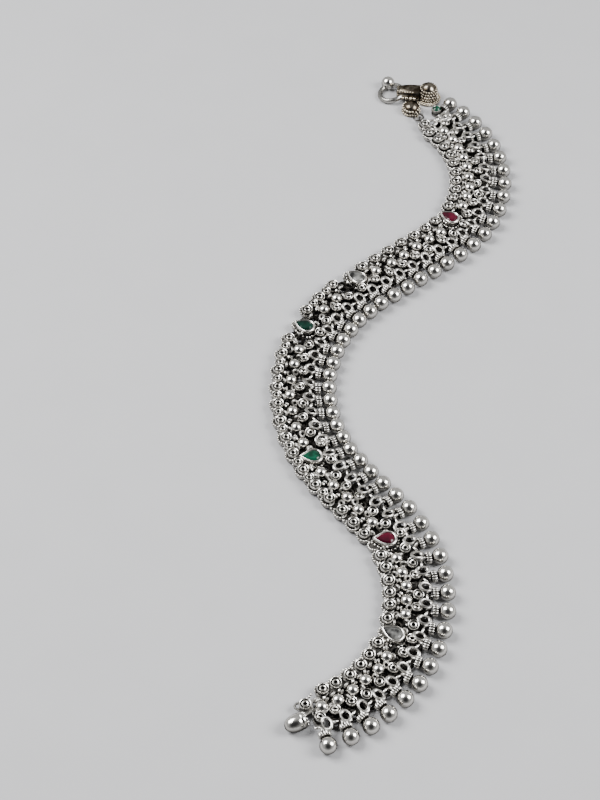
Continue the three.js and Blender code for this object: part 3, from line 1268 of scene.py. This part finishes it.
@dataclass
class BellFringe:
    """Round bells with ribbed collars."""

    offset: float = 5.0
    radius: float = 2.1
    ribs: int = 13
    rib_depth: float = 0.24
    rib_corners: int = 6
    sway: float = 0.12
    yaw: float = 7.0
    joint_along: float = -0.8
    joint_tarnish: float = 0.6
    open_rows: int = 2
    groove_power: int = 3
    seed: int = 21
    bell_shade: float = 0.72
    collar_shade: float = 0.6

    # The collar from its outer face to the bell
    COLLAR = (
        CollarRow(1.15, -3.72, 0.4),
        CollarRow(1.5, -3.6, 1.0),
        CollarRow(1.62, -3.3, 1.0),
        CollarRow(1.64, -2.95, 1.0),
        CollarRow(1.6, -2.6, 1.0),
        CollarRow(1.45, -2.36, 1.0),
        CollarRow(1.05, -2.24, 0.4),
        CollarRow(0.7, -2.1, 0.0),
        CollarRow(0.7, -1.7, 0.0),
    )
    BELL_ROWS = 22

    def build(self) -> list[bpy.types.Object]:
        """Builds the bells and their collars in the same places.

        Returns:
            The pieces.
        """
        draw = np.random.default_rng(self.seed)
        places = []
        for column in range(BAND.columns):
            sway = draw.uniform(-self.sway, self.sway, 2)
            yaw = draw.uniform(-self.yaw, self.yaw)
            places.append(BAND.stand(BAND.column(column) + sway[0], self.offset + sway[1], self.radius, yaw))
        return [self.bells(places), self.collars(places)]

    def bells(self, places: list[np.ndarray]) -> bpy.types.Object:
        """Builds the round shells, a little dull where the collar meets them.

        Args:
            places: a frame for each bell.

        Returns:
            The piece.
        """
        angles = np.pi * np.arange(self.BELL_ROWS + 1) / self.BELL_ROWS
        profile = []
        for angle in angles[self.open_rows:]:
            along = -math.cos(angle)
            dark = self.joint_tarnish if along < self.joint_along else 0.0
            profile.append((self.radius * math.sin(angle), self.radius * along, dark))
        profile[-1] = (0.0, self.radius, 0.0)
        casting = Casting()
        casting.add(turned(profile, BELL_SIDES).moved(ALONG_Y), places)
        made = casting.piece("round_bells", POLISHED, shade=self.bell_shade)
        return mount(made, Slot.POLISHED, "bell_fringe")

    def collar(self) -> Shape:
        """Makes one collar: a drum with round ribs along it and dark grooves between them.

        Returns:
            The shape.
        """
        count = self.ribs * self.rib_corners
        angles = round_angles(count)
        groove = np.abs(np.sin(angles * self.ribs / 2)) ** self.groove_power
        rows = []
        dark = []
        for row in self.COLLAR:
            rows.append(on_circle(row.radius - self.rib_depth * row.rib * groove, angles, row.along))
            dark.append(groove if row.rib == 1.0 else np.ones(count))
        ends = [np.array([[0.0, 0.0, row.along]]) for row in (self.COLLAR[0], self.COLLAR[-1])]
        shape = skin([ends[0], *rows, ends[1]], [1.0] * (len(rows) + 2))
        return Shape(shape.points, shape.quads, shape.tris, np.concatenate([[1.0], *dark, [1.0]]))

    def collars(self, places: list[np.ndarray]) -> bpy.types.Object:
        """Builds the ribbed collars between the bells and their links.

        Args:
            places: a frame for each bell.

        Returns:
            The piece.
        """
        casting = Casting()
        casting.add(self.collar().moved(ALONG_Y), places)
        made = casting.piece("ribbed_collars", OXIDISED, shade=self.collar_shade)
        return mount(made, Slot.OXIDISED, "bell_fringe")


@dataclass
class PearSetting:
    """A pear stone in its bezel, with a skirt of granules."""

    place: PearPlace
    corners: int = 44
    skirt_width: float = 5.3
    skirt_length: float = 7.0
    skirt_height: float = 1.05
    skirt_grains: int = 20
    grain_radius: float = 0.44
    middle: float = 0.3
    crease: float = 4.0
    bezel_shade: float = 0.4

    BEZEL = (
        PearRow(5.0, 6.7, 0.0, 0.9),
        PearRow(5.5, 7.2, 0.15, 0.6),
        PearRow(5.65, 7.35, 0.45, 0.2),
        PearRow(5.6, 7.3, 0.75, 0.1),
        PearRow(5.3, 7.0, 0.95, 0.5),
        PearRow(4.2, 5.9, 1.1, 1.0),
        PearRow(3.9, 5.6, 1.35, 1.0),
        PearRow(4.1, 5.8, 1.55, 0.9),
        PearRow(4.55, 6.3, 1.75, 0.2),
        PearRow(4.72, 6.5, 2.1, 0.0),
        PearRow(4.68, 6.46, 2.5, 0.0),
        PearRow(4.5, 6.25, 2.85, 0.0),
        PearRow(4.2, 5.9, 3.04, 0.0),
        PearRow(3.85, 5.5, 3.08, 0.0),
        PearRow(3.52, 5.12, 2.98, 0.1),
        PearRow(3.34, 4.92, 2.8, 0.9),
        PearRow(3.3, 4.88, 2.5, 1.0),
    )
    STONE_CORNERS = 16
    STONE = (
        PearRow(2.6, 4.0, 2.45, 0.0),
        PearRow(3.3, 4.9, 2.78, 0.0),
        PearRow(3.12, 4.66, 2.98, 0.0),
        PearRow(2.5, 3.85, 3.2, 0.0),
    )

    def build(self) -> list[bpy.types.Object]:
        """Builds the bezel and the stone.

        Returns:
            The pieces.
        """
        station = BAND.column(self.place.column)
        frame_here = BAND.stand(station, self.place.offset, 0.0, self.place.yaw)
        return [self.bezel(frame_here), self.stone(frame_here)]

    def bezel(self, frame_here: np.ndarray) -> bpy.types.Object:
        """Builds the rim, the waist and the granules round the foot.

        Args:
            frame_here: the setting's frame.

        Returns:
            The piece.
        """
        rows = [pear(row.width, row.length, row.height, self.corners) for row in self.BEZEL]
        dark = [row.tarnish for row in self.BEZEL]
        foot = np.array([[0.0, self.middle, 0.0]])
        floor = np.array([[0.0, self.middle, self.BEZEL[-1].height]])
        casting = Casting()
        casting.add(skin([foot, *rows, floor], [0.9, *dark, 1.0]), [frame_here])
        outline = pear(self.skirt_width, self.skirt_length, self.skirt_height, 4 * self.corners)
        casting.add_grains(self.grain_radius, spaced(outline, self.skirt_grains), frame_here)
        made = casting.piece(f"bezel_{self.place.name}", OXIDISED, shade=self.bezel_shade)
        return mount(made, self.place.stone.slot, f"setting_{self.place.name}")

    def stone(self, frame_here: np.ndarray) -> bpy.types.Object:
        """Cuts the stone: girdle, two rows of facets and a flat table.

        Args:
            frame_here: the setting's frame.

        Returns:
            The piece.
        """
        rows = [pear(row.width, row.length, row.height, self.STONE_CORNERS) for row in self.STONE]
        culet = np.array([[0.0, self.middle, self.STONE[0].height]])
        table = np.array([[0.0, self.middle, self.STONE[-1].height]])
        casting = Casting()
        casting.add(skin([culet, *rows, table], [0.0] * (len(rows) + 2)), [frame_here])
        made = casting.piece(f"stone_{self.place.name}", self.place.stone.gem, crease=self.crease)
        return mount(made, self.place.stone.slot, f"setting_{self.place.name}")


@dataclass
class EndSetting:
    """The small round green stone at the clasp."""

    place: Stop = Stop(-0.6, 0.6)
    crease: float = 4.0

    CUP = (
        Turn(0.0, 0.0, 0.9),
        Turn(1.5, 0.0, 0.7),
        Turn(1.55, 0.4, 0.3),
        Turn(1.4, 0.7, 0.9),
        Turn(1.4, 1.1, 0.9),
        Turn(1.58, 1.4, 0.2),
        Turn(1.6, 2.1, 0.05),
        Turn(1.5, 2.35, 0.0),
        Turn(1.32, 2.36, 0.1),
        Turn(1.2, 2.2, 0.9),
        Turn(0.0, 2.1, 1.0),
    )
    STONE = (
        Turn(0.0, 2.0, 0.0),
        Turn(1.2, 2.15, 0.0),
        Turn(1.15, 2.4, 0.0),
        Turn(0.7, 2.75, 0.0),
        Turn(0.0, 2.78, 0.0),
    )
    STONE_SIDES = 12

    def build(self) -> list[bpy.types.Object]:
        """Builds the cup and the stone.

        Returns:
            The pieces.
        """
        here = BAND.stand(*self.place)
        cup = Casting()
        cup.add(turned(self.CUP, STUD_SIDES), [here])
        stone = Casting()
        stone.add(turned(self.STONE, self.STONE_SIDES), [here])
        return [
            mount(cup.piece("end_bezel", OXIDISED), Slot.GREEN, "end_setting"),
            mount(stone.piece("end_stone", GREEN, crease=self.crease), Slot.GREEN, "end_setting"),
        ]


def granulate(casting: Casting, profile: Sequence[Turn], grains: Grains, place: np.ndarray) -> None:
    """Covers a turned body with rows of granules.

    Args:
        casting: takes the granules.
        profile: the body's profile from its foot up.
        grains: their spacing, size and darkness.
        place: the body's frame.
    """
    path = np.array([(turn.radius, turn.along) for turn in profile])
    length = travelled(path)[-1]
    marks = np.linspace(0.0, length, 1 + int(length / grains.spacing))
    for row, (ring, along) in enumerate(along_path(path, marks)):
        count = max(1, round(2 * math.pi * ring / grains.spacing))
        angles = 2 * math.pi * (np.arange(count) + 0.5 * (row % 2)) / count
        casting.add_grains(grains.radius, on_circle(ring, angles, along), place, grains.tarnish)


@dataclass
class Clasp:
    """The wire ring with its ball, the dome with its neck, the cup and the jump ring."""

    ring: Stop = Stop(-16.3, -1.9)
    ring_radius: float = 3.55
    ring_wire: float = 0.75
    ring_height: float = 1.4
    ring_tilt: float = 12.0
    ball: Stop = Stop(-19.6, 0.6)
    ball_radius: float = 2.0
    stem: float = 0.6
    dome: Stop = Stop(-6.9, 4.6)
    neck: Stop = Stop(-15.0, -0.7)
    neck_height: float = 2.1
    neck_spread: float = 1.3
    scroll_radius: float = 0.8
    scroll_wire: float = 0.3
    scroll_side: float = 1.75
    scroll_rise: float = 1.45
    scroll_lean: float = -40.0
    hem_radius: float = 0.58
    hem_step: float = 1.2
    hem_side: float = 2.55
    hem_rise: float = 0.35
    cup: Stop = Stop(-7.3, -3.4)
    eye_radius: float = 0.95
    eye_wire: float = 0.28
    eye_reach: float = 3.3
    jump_radius: float = 1.5
    jump_height: float = 1.5
    ring_shade: float = 0.7
    dome_shade: float = 0.75
    cup_shade: float = 0.6

    # Tarnish of the dome is high all over: partly the clasp's own oxide, partly a painted dark reflection of
    # the surroundings
    DOME = (
        Turn(0.0, 0.0, 0.9),
        Turn(2.5, 0.0, 0.8),
        Turn(2.95, 0.3, 0.4),
        Turn(3.0, 0.8, 0.2),
        Turn(2.8, 1.1, 0.9),
        Turn(2.75, 1.8, 0.9),
        Turn(2.78, 2.8, 0.9),
        Turn(2.6, 3.8, 0.85),
        Turn(2.15, 4.8, 0.75),
        Turn(1.4, 5.5, 0.7),
        Turn(0.6, 5.85, 0.7),
        Turn(0.0, 5.92, 0.7),
    )
    DOME_SIDE = (Turn(2.8, 1.4, 0.0), Turn(2.8, 2.8, 0.0), Turn(2.4, 4.3, 0.0))
    DOME_RIM = (Turn(3.0, 0.5, 0.0), Turn(3.6, 0.45, 0.0))
    SIDE_GRAINS = Grains(0.85, 0.34, 0.35)
    RIM_GRAINS = Grains(0.6, 0.4, 0.0)
    FOOT_GRAINS = Grains(0.85, 0.46, 0.0)
    CAP_GRAINS = Grains(0.9, 0.4, 0.2)
    NECK = (
        Turn(0.0, -0.2, 0.9),
        Turn(1.3, 0.0, 0.4),
        Turn(1.62, 0.25, 0.3),
        Turn(1.5, 0.55, 0.9),
        Turn(1.6, 1.0, 0.85),
        Turn(1.85, 2.2, 0.8),
        Turn(2.05, 4.0, 0.8),
        Turn(2.1, 7.0, 0.85),
        Turn(0.0, 8.0, 0.9),
    )
    BALL_ROWS = 16
    DOME_SIDES = 40
    NECK_SIDES = 30
    SCROLLS = (1.3, 2.9, 4.5)
    HEM = (0.7, 6.0)
    # Tarnish of the cup is high all over: partly the clasp's own oxide, partly a painted dark reflection of
    # the surroundings
    CUP = (
        Turn(0.0, 0.0, 0.9),
        Turn(2.0, 0.0, 0.8),
        Turn(2.6, 0.5, 0.6),
        Turn(2.7, 0.9, 0.7),
        Turn(2.4, 1.4, 0.95),
        Turn(2.5, 1.9, 0.85),
        Turn(2.1, 2.7, 0.85),
        Turn(1.2, 3.3, 0.82),
        Turn(0.0, 3.5, 0.8),
    )

    def build(self) -> list[bpy.types.Object]:
        """Builds the parts of the clasp in their order from the ring to the first stud."""
        return [self.end_ring(), self.dome_and_neck(), self.cup_bead(), self.jump_ring(), self.stud_eye()]

    def line(self) -> np.ndarray:
        """Gives the frame at the cup whose X axis runs to the first stud."""
        start = BAND.point(*self.cup, self.jump_height)
        return aim(start, BAND.point(*FIRST_STUD, self.jump_height))

    def eye(self, reach: float) -> tuple[Shape, np.ndarray]:
        """Gives an upright eye and its frame, at a reach from the cup."""
        shape = hoop(self.eye_radius, self.eye_wire, SMALL_HOOP_STEPS)
        return shape, self.line() @ shift(reach) @ rotation("x", 90.0)

    def end_ring(self) -> bpy.types.Object:
        """Builds the wire ring and the ball at its end.

        Returns:
            The piece.
        """
        centre = BAND.point(*self.ring, self.ring_height)
        neck = BAND.point(*self.neck, self.ring_height)
        casting = Casting()
        slant = aim(centre, neck) @ rotation("y", -self.ring_tilt)
        casting.add(hoop(self.ring_radius, self.ring_wire, 2 * HOOP_STEPS), [slant])
        bead = BAND.stand(*self.ball, self.ball_radius)
        casting.add(ball(self.ball_radius, BEAD_SIDES, self.BALL_ROWS), [bead])
        reach = np.array([bead[:3, 3], (bead[:3, 3] + centre) / 2])
        casting.add(tube(reach, self.stem, closed=False), [np.eye(4)])
        made = casting.piece("ring_and_ball", POLISHED, shade=self.ring_shade)
        return mount(made, Slot.POLISHED, "end_ring")

    def dome_and_neck(self) -> bpy.types.Object:
        """Builds the granulated dome and the neck that holds the ring.

        Returns:
            The piece.
        """
        casting = Casting()
        dome = BAND.stand(*self.dome)
        casting.add(turned(self.DOME, self.DOME_SIDES), [dome])
        granulate(casting, self.DOME_SIDE, self.SIDE_GRAINS, dome)
        granulate(casting, self.DOME_RIM, self.RIM_GRAINS, dome)
        start = BAND.point(*self.neck, self.neck_height)
        neck = aim(start, BAND.point(*self.dome, self.neck_height)) @ ALONG_X
        casting.add(turned(self.NECK, self.NECK_SIDES), [neck @ resize(1.0, self.neck_spread, 1.0)])
        for side in (-self.hem_side, self.hem_side):
            for along in np.arange(*self.HEM, self.hem_step):
                casting.add(grain(self.hem_radius), [neck @ shift(self.hem_rise, side, along)])
        cup_side = (np.linalg.inv(neck) @ np.array([*BAND.point(*self.cup), 1.0]))[1]
        for along in self.SCROLLS:
            lean = rotation("z", math.copysign(self.scroll_lean, cup_side)) @ rotation("y", 90.0)
            place = neck @ shift(-self.scroll_rise, math.copysign(self.scroll_side, cup_side), along)
            casting.add(hoop(self.scroll_radius, self.scroll_wire, SMALL_HOOP_STEPS), [place @ lean])
        made = casting.piece("dome_and_neck", WARM, shade=self.dome_shade)
        return mount(made, Slot.OXIDISED, "clasp_dome")

    def cup_bead(self) -> bpy.types.Object:
        """Builds the granulated cup with its eye.

        Returns:
            The piece.
        """
        casting = Casting()
        cup = BAND.stand(*self.cup)
        casting.add(turned(self.CUP, TURNED_SIDES), [cup])
        granulate(casting, self.CUP[2:4], self.FOOT_GRAINS, cup)
        granulate(casting, self.CUP[5:7], self.CAP_GRAINS, cup)
        shape, place = self.eye(self.eye_reach)
        casting.add(shape, [place])
        made = casting.piece("granulated_cup", WARM, shade=self.cup_shade)
        return mount(made, Slot.OXIDISED, "cup_bead")

    def jump_ring(self) -> bpy.types.Object:
        """Builds the flat ring that links the two eyes.

        Returns:
            The piece.
        """
        casting = Casting()
        place = self.line() @ shift(self.eye_reach + self.jump_radius)
        casting.add(hoop(self.jump_radius, self.eye_wire), [place])
        made = casting.piece("flat_jump_ring", POLISHED)
        return mount(made, Slot.POLISHED, "jump_ring")

    def stud_eye(self) -> bpy.types.Object:
        """Builds the eye on the first stud.

        Returns:
            The piece.
        """
        casting = Casting()
        shape, place = self.eye(self.eye_reach + 2 * self.jump_radius)
        casting.add(shape, [place])
        made = casting.piece("stud_eye", POLISHED)
        return mount(made, Slot.POLISHED, "stud_row")


@dataclass
class BarrelEnd:
    """The bullet at the far end, with the plate that carries the last stud and an eye."""

    barrel: Stop = Stop(2.8, -2.85)
    barrel_heading: float = 207.0
    barrel_height: float = 2.15
    stud: Stop = Stop(-0.75, -6.9)
    stud_radius: float = 1.5
    stud_height: float = 3.0
    eye: Stop = Stop(0.95, -7.3)
    eye_radius: float = 0.85
    eye_wire: float = 0.3
    eye_height: float = 1.7
    plate_low: float = 0.9
    plate_high: float = 1.75
    edge_step: float = 0.75
    edge_radius: float = 0.34
    edge_height: float = 1.4
    back_radius: float = 1.6
    back_along: float = -2.35
    back_grains: int = 12
    back_grain_radius: float = 0.35
    eye_steps: int = 18
    plate_shade: float = 0.7

    BULLET = (
        Turn(0.0, -2.4, 0.9),
        Turn(1.45, -2.4, 0.7),
        Turn(1.7, -2.3, 0.4),
        Turn(1.75, -2.1, 0.9),
        Turn(2.05, -2.0, 0.2),
        Turn(2.15, -1.8, 0.0),
        Turn(2.15, -1.2, 0.0),
        Turn(2.08, -1.1, 0.7),
        Turn(2.15, -1.0, 0.1),
        Turn(2.16, -0.2, 0.0),
        Turn(2.1, 0.5, 0.0),
        Turn(1.95, 1.1, 0.0),
        Turn(1.68, 1.8, 0.0),
        Turn(1.28, 2.4, 0.05),
        Turn(0.7, 2.78, 0.1),
        Turn(0.0, 2.9, 0.1),
    )
    PLATE = (Stop(-3.4, -8.2), Stop(-2.6, -5.0), Stop(-0.2, -4.4), Stop(0.7, -6.7))
    EDGE = (Stop(0.5, -8.4), Stop(-0.7, -8.75), Stop(-2.0, -8.9), Stop(-3.3, -9.3), Stop(-4.2, -9.9))
    PLATE_TARNISH = (0.95, 0.9, 0.6, 0.75)

    def build(self) -> list[bpy.types.Object]:
        """Builds the bullet and the plate."""
        return [self.bullet(), self.plate()]

    def at(self, stop: Stop, height: float = 0.0) -> np.ndarray:
        """Gives the frame at a place that is counted from the band's end."""
        return BAND.stand(BAND.length + stop.station, stop.offset, height)

    def bullet(self) -> bpy.types.Object:
        """Builds the bullet, nose outwards.

        Returns:
            The piece.
        """
        casting = Casting()
        centre = self.at(self.barrel, self.barrel_height)[:3, 3]
        place = shift(*centre) @ rotation("z", self.barrel_heading) @ ALONG_X
        casting.add(turned(self.BULLET, TURNED_SIDES), [place])
        back = on_circle(self.back_radius, round_angles(self.back_grains), self.back_along)
        casting.add_grains(self.back_grain_radius, back, place)
        made = casting.piece("bullet_end", POLISHED)
        return mount(made, Slot.POLISHED, "barrel")

    def plate(self) -> bpy.types.Object:
        """Builds the plate with its stud, granules and eye.

        Returns:
            The piece.
        """
        casting = Casting()
        rows = []
        for height in (self.plate_low, self.plate_high):
            rows.append(np.array([self.at(stop, height)[:3, 3] for stop in reversed(self.PLATE)]))
        middles = [row.mean(axis=0, keepdims=True) for row in rows]
        casting.add(skin([middles[0], *rows, middles[1]], self.PLATE_TARNISH), [np.eye(4)])
        casting.add(bullseye(self.stud_radius, self.stud_height), [self.at(self.stud)])
        eye = hoop(self.eye_radius, self.eye_wire, self.eye_steps)
        casting.add(eye, [self.at(self.eye, self.eye_height)])
        edge = np.array([self.at(stop, self.edge_height)[:3, 3] for stop in self.EDGE])
        marks = np.arange(0.0, travelled(edge)[-1], self.edge_step)
        casting.add_grains(self.edge_radius, along_path(edge, marks), np.eye(4))
        made = casting.piece("last_plate", OXIDISED, shade=self.plate_shade)
        return mount(made, Slot.OXIDISED, "end_plate")


@dataclass(frozen=True)
class Floor(Finish):
    """A plain pale floor."""

    name: str = "pale_floor"
    low: tuple[float, float, float] = (0.42, 0.42, 0.43)
    high: tuple[float, float, float] = (0.45, 0.45, 0.46)
    dullness: float = 0.75

    MOTTLE_SCALE = 60.0
    MOTTLE_DETAIL = 3.0

    def paint(self, tree: bpy.types.NodeTree) -> None:
        """Paints a faint mottle.

        Args:
            tree: the tree that takes the nodes.
        """
        shader = tree.nodes["Principled BSDF"]
        shader.inputs["Roughness"].default_value = self.dullness
        mottle = noise(tree, self.MOTTLE_SCALE, self.MOTTLE_DETAIL)
        tree.links.new(blend(tree, mottle, self.low, self.high), shader.inputs["Base Color"])


class Softbox(NamedTuple):
    """A square soft light: the angles at which it hangs, its width and its power."""

    name: str
    azimuth: float
    elevation: float
    width: float
    watts: float


@dataclass
class Studio:
    """Camera, floor, two soft lights and dim surroundings."""

    target: tuple[float, float, float] = (-27.36, -9.92, 0.0)
    elevation: float = 50.0
    distance: float = 525.25
    lens: float = 87.75
    sensor: float = 36.0
    floor_size: float = 12000.0
    light_distance: float = 700.0
    dim_side: tuple[float, float, float] = (0.0, -0.643, 0.766)
    dark_room: tuple[float, float, float] = (0.03, 0.03, 0.032)
    pale_room: tuple[float, float, float] = (0.46, 0.465, 0.47)

    # Where the surroundings start to turn dark towards the dim side, and where they are dark
    dim_range: tuple[float, float] = (0.55, 0.93)

    # Azimuths are counted from +X
    LIGHTS = (
        Softbox("softbox_left", 167.0, 51.0, 420.0, 9.0),
        Softbox("softbox_right", -9.0, 44.0, 380.0, 7.0),
    )

    def build(self) -> None:
        """Sets up the camera, the floor and the lights."""
        self.camera()
        self.floor()
        for light in self.LIGHTS:
            self.softbox(light)
        self.room()

    def room(self) -> None:
        """Paints the surroundings: pale all round, dark where the viewer stands."""
        world = bpy.data.worlds.new("studio_room")
        world.use_nodes = True
        tree = world.node_tree
        coords = node(tree, "ShaderNodeTexCoord")
        facing = node(tree, "ShaderNodeVectorMath", operation="DOT_PRODUCT")
        facing.inputs[1].default_value = self.dim_side
        tree.links.new(coords.outputs["Generated"], facing.inputs[0])
        share = spread(tree, facing.outputs["Value"], 0.0, 1.0, *self.dim_range)
        colour = blend(tree, share, self.pale_room, self.dark_room)
        tree.links.new(colour, tree.nodes["Background"].inputs["Color"])
        bpy.context.scene.world = world

    def camera(self) -> None:
        """Places the camera and makes it the scene's own."""
        data = bpy.data.cameras.new("front_camera")
        data.lens = self.lens
        data.sensor_width = self.sensor
        camera = bpy.data.objects.new("front_camera", data)
        rise = math.radians(self.elevation)
        x, y, z = self.target
        camera.location = (
            x * MM,
            (y - self.distance * math.cos(rise)) * MM,
            (z + self.distance * math.sin(rise)) * MM,
        )
        camera.rotation_euler = (math.radians(90.0 - self.elevation), 0.0, 0.0)
        bpy.context.scene.collection.objects.link(camera)
        bpy.context.scene.camera = camera

    def floor(self) -> None:
        """Lays the floor that the anklet lies on."""
        half = self.floor_size / 2 * MM
        mesh = bpy.data.meshes.new("floor")
        corners = [(-half, -half, 0), (half, -half, 0), (half, half, 0), (-half, half, 0)]
        mesh.from_pydata(corners, [], [(0, 1, 2, 3)])
        mesh.materials.append(Floor().material())
        floor = bpy.data.objects.new("floor", mesh)
        bpy.context.scene.collection.objects.link(floor)

    def softbox(self, box: Softbox) -> None:
        """Hangs one soft light that faces the anklet.

        Args:
            box: the light's place, size and power.
        """
        data = bpy.data.lights.new(box.name, "AREA")
        data.shape = "RECTANGLE"
        data.size = box.width * MM
        data.size_y = box.width * MM
        data.energy = box.watts
        light = bpy.data.objects.new(box.name, data)
        around = math.radians(box.azimuth)
        rise = math.radians(box.elevation)
        reach = self.light_distance * MM
        light.location = (
            reach * math.cos(rise) * math.cos(around),
            reach * math.cos(rise) * math.sin(around),
            reach * math.sin(rise),
        )
        light.rotation_euler = (math.radians(90.0 - box.elevation), 0.0, around + math.pi / 2)
        bpy.context.scene.collection.objects.link(light)


def main() -> None:
    """Builds the studio and the anklet in order, and reports each piece."""
    logging.basicConfig(level=logging.INFO, format="%(name)s: %(message)s")
    Studio().build()
    assemblies = [StudRow(), BeadRow(), LinkBand(), BellFringe()]
    assemblies += [PearSetting(pear_place) for pear_place in PEARS]
    assemblies += [EndSetting(), Clasp(), BarrelEnd()]
    for assembly in assemblies:
        for piece in assembly.build():
            log.info("%s with %d faces", piece.name, len(piece.data.polygons))


if __name__ == "__main__":
    main()
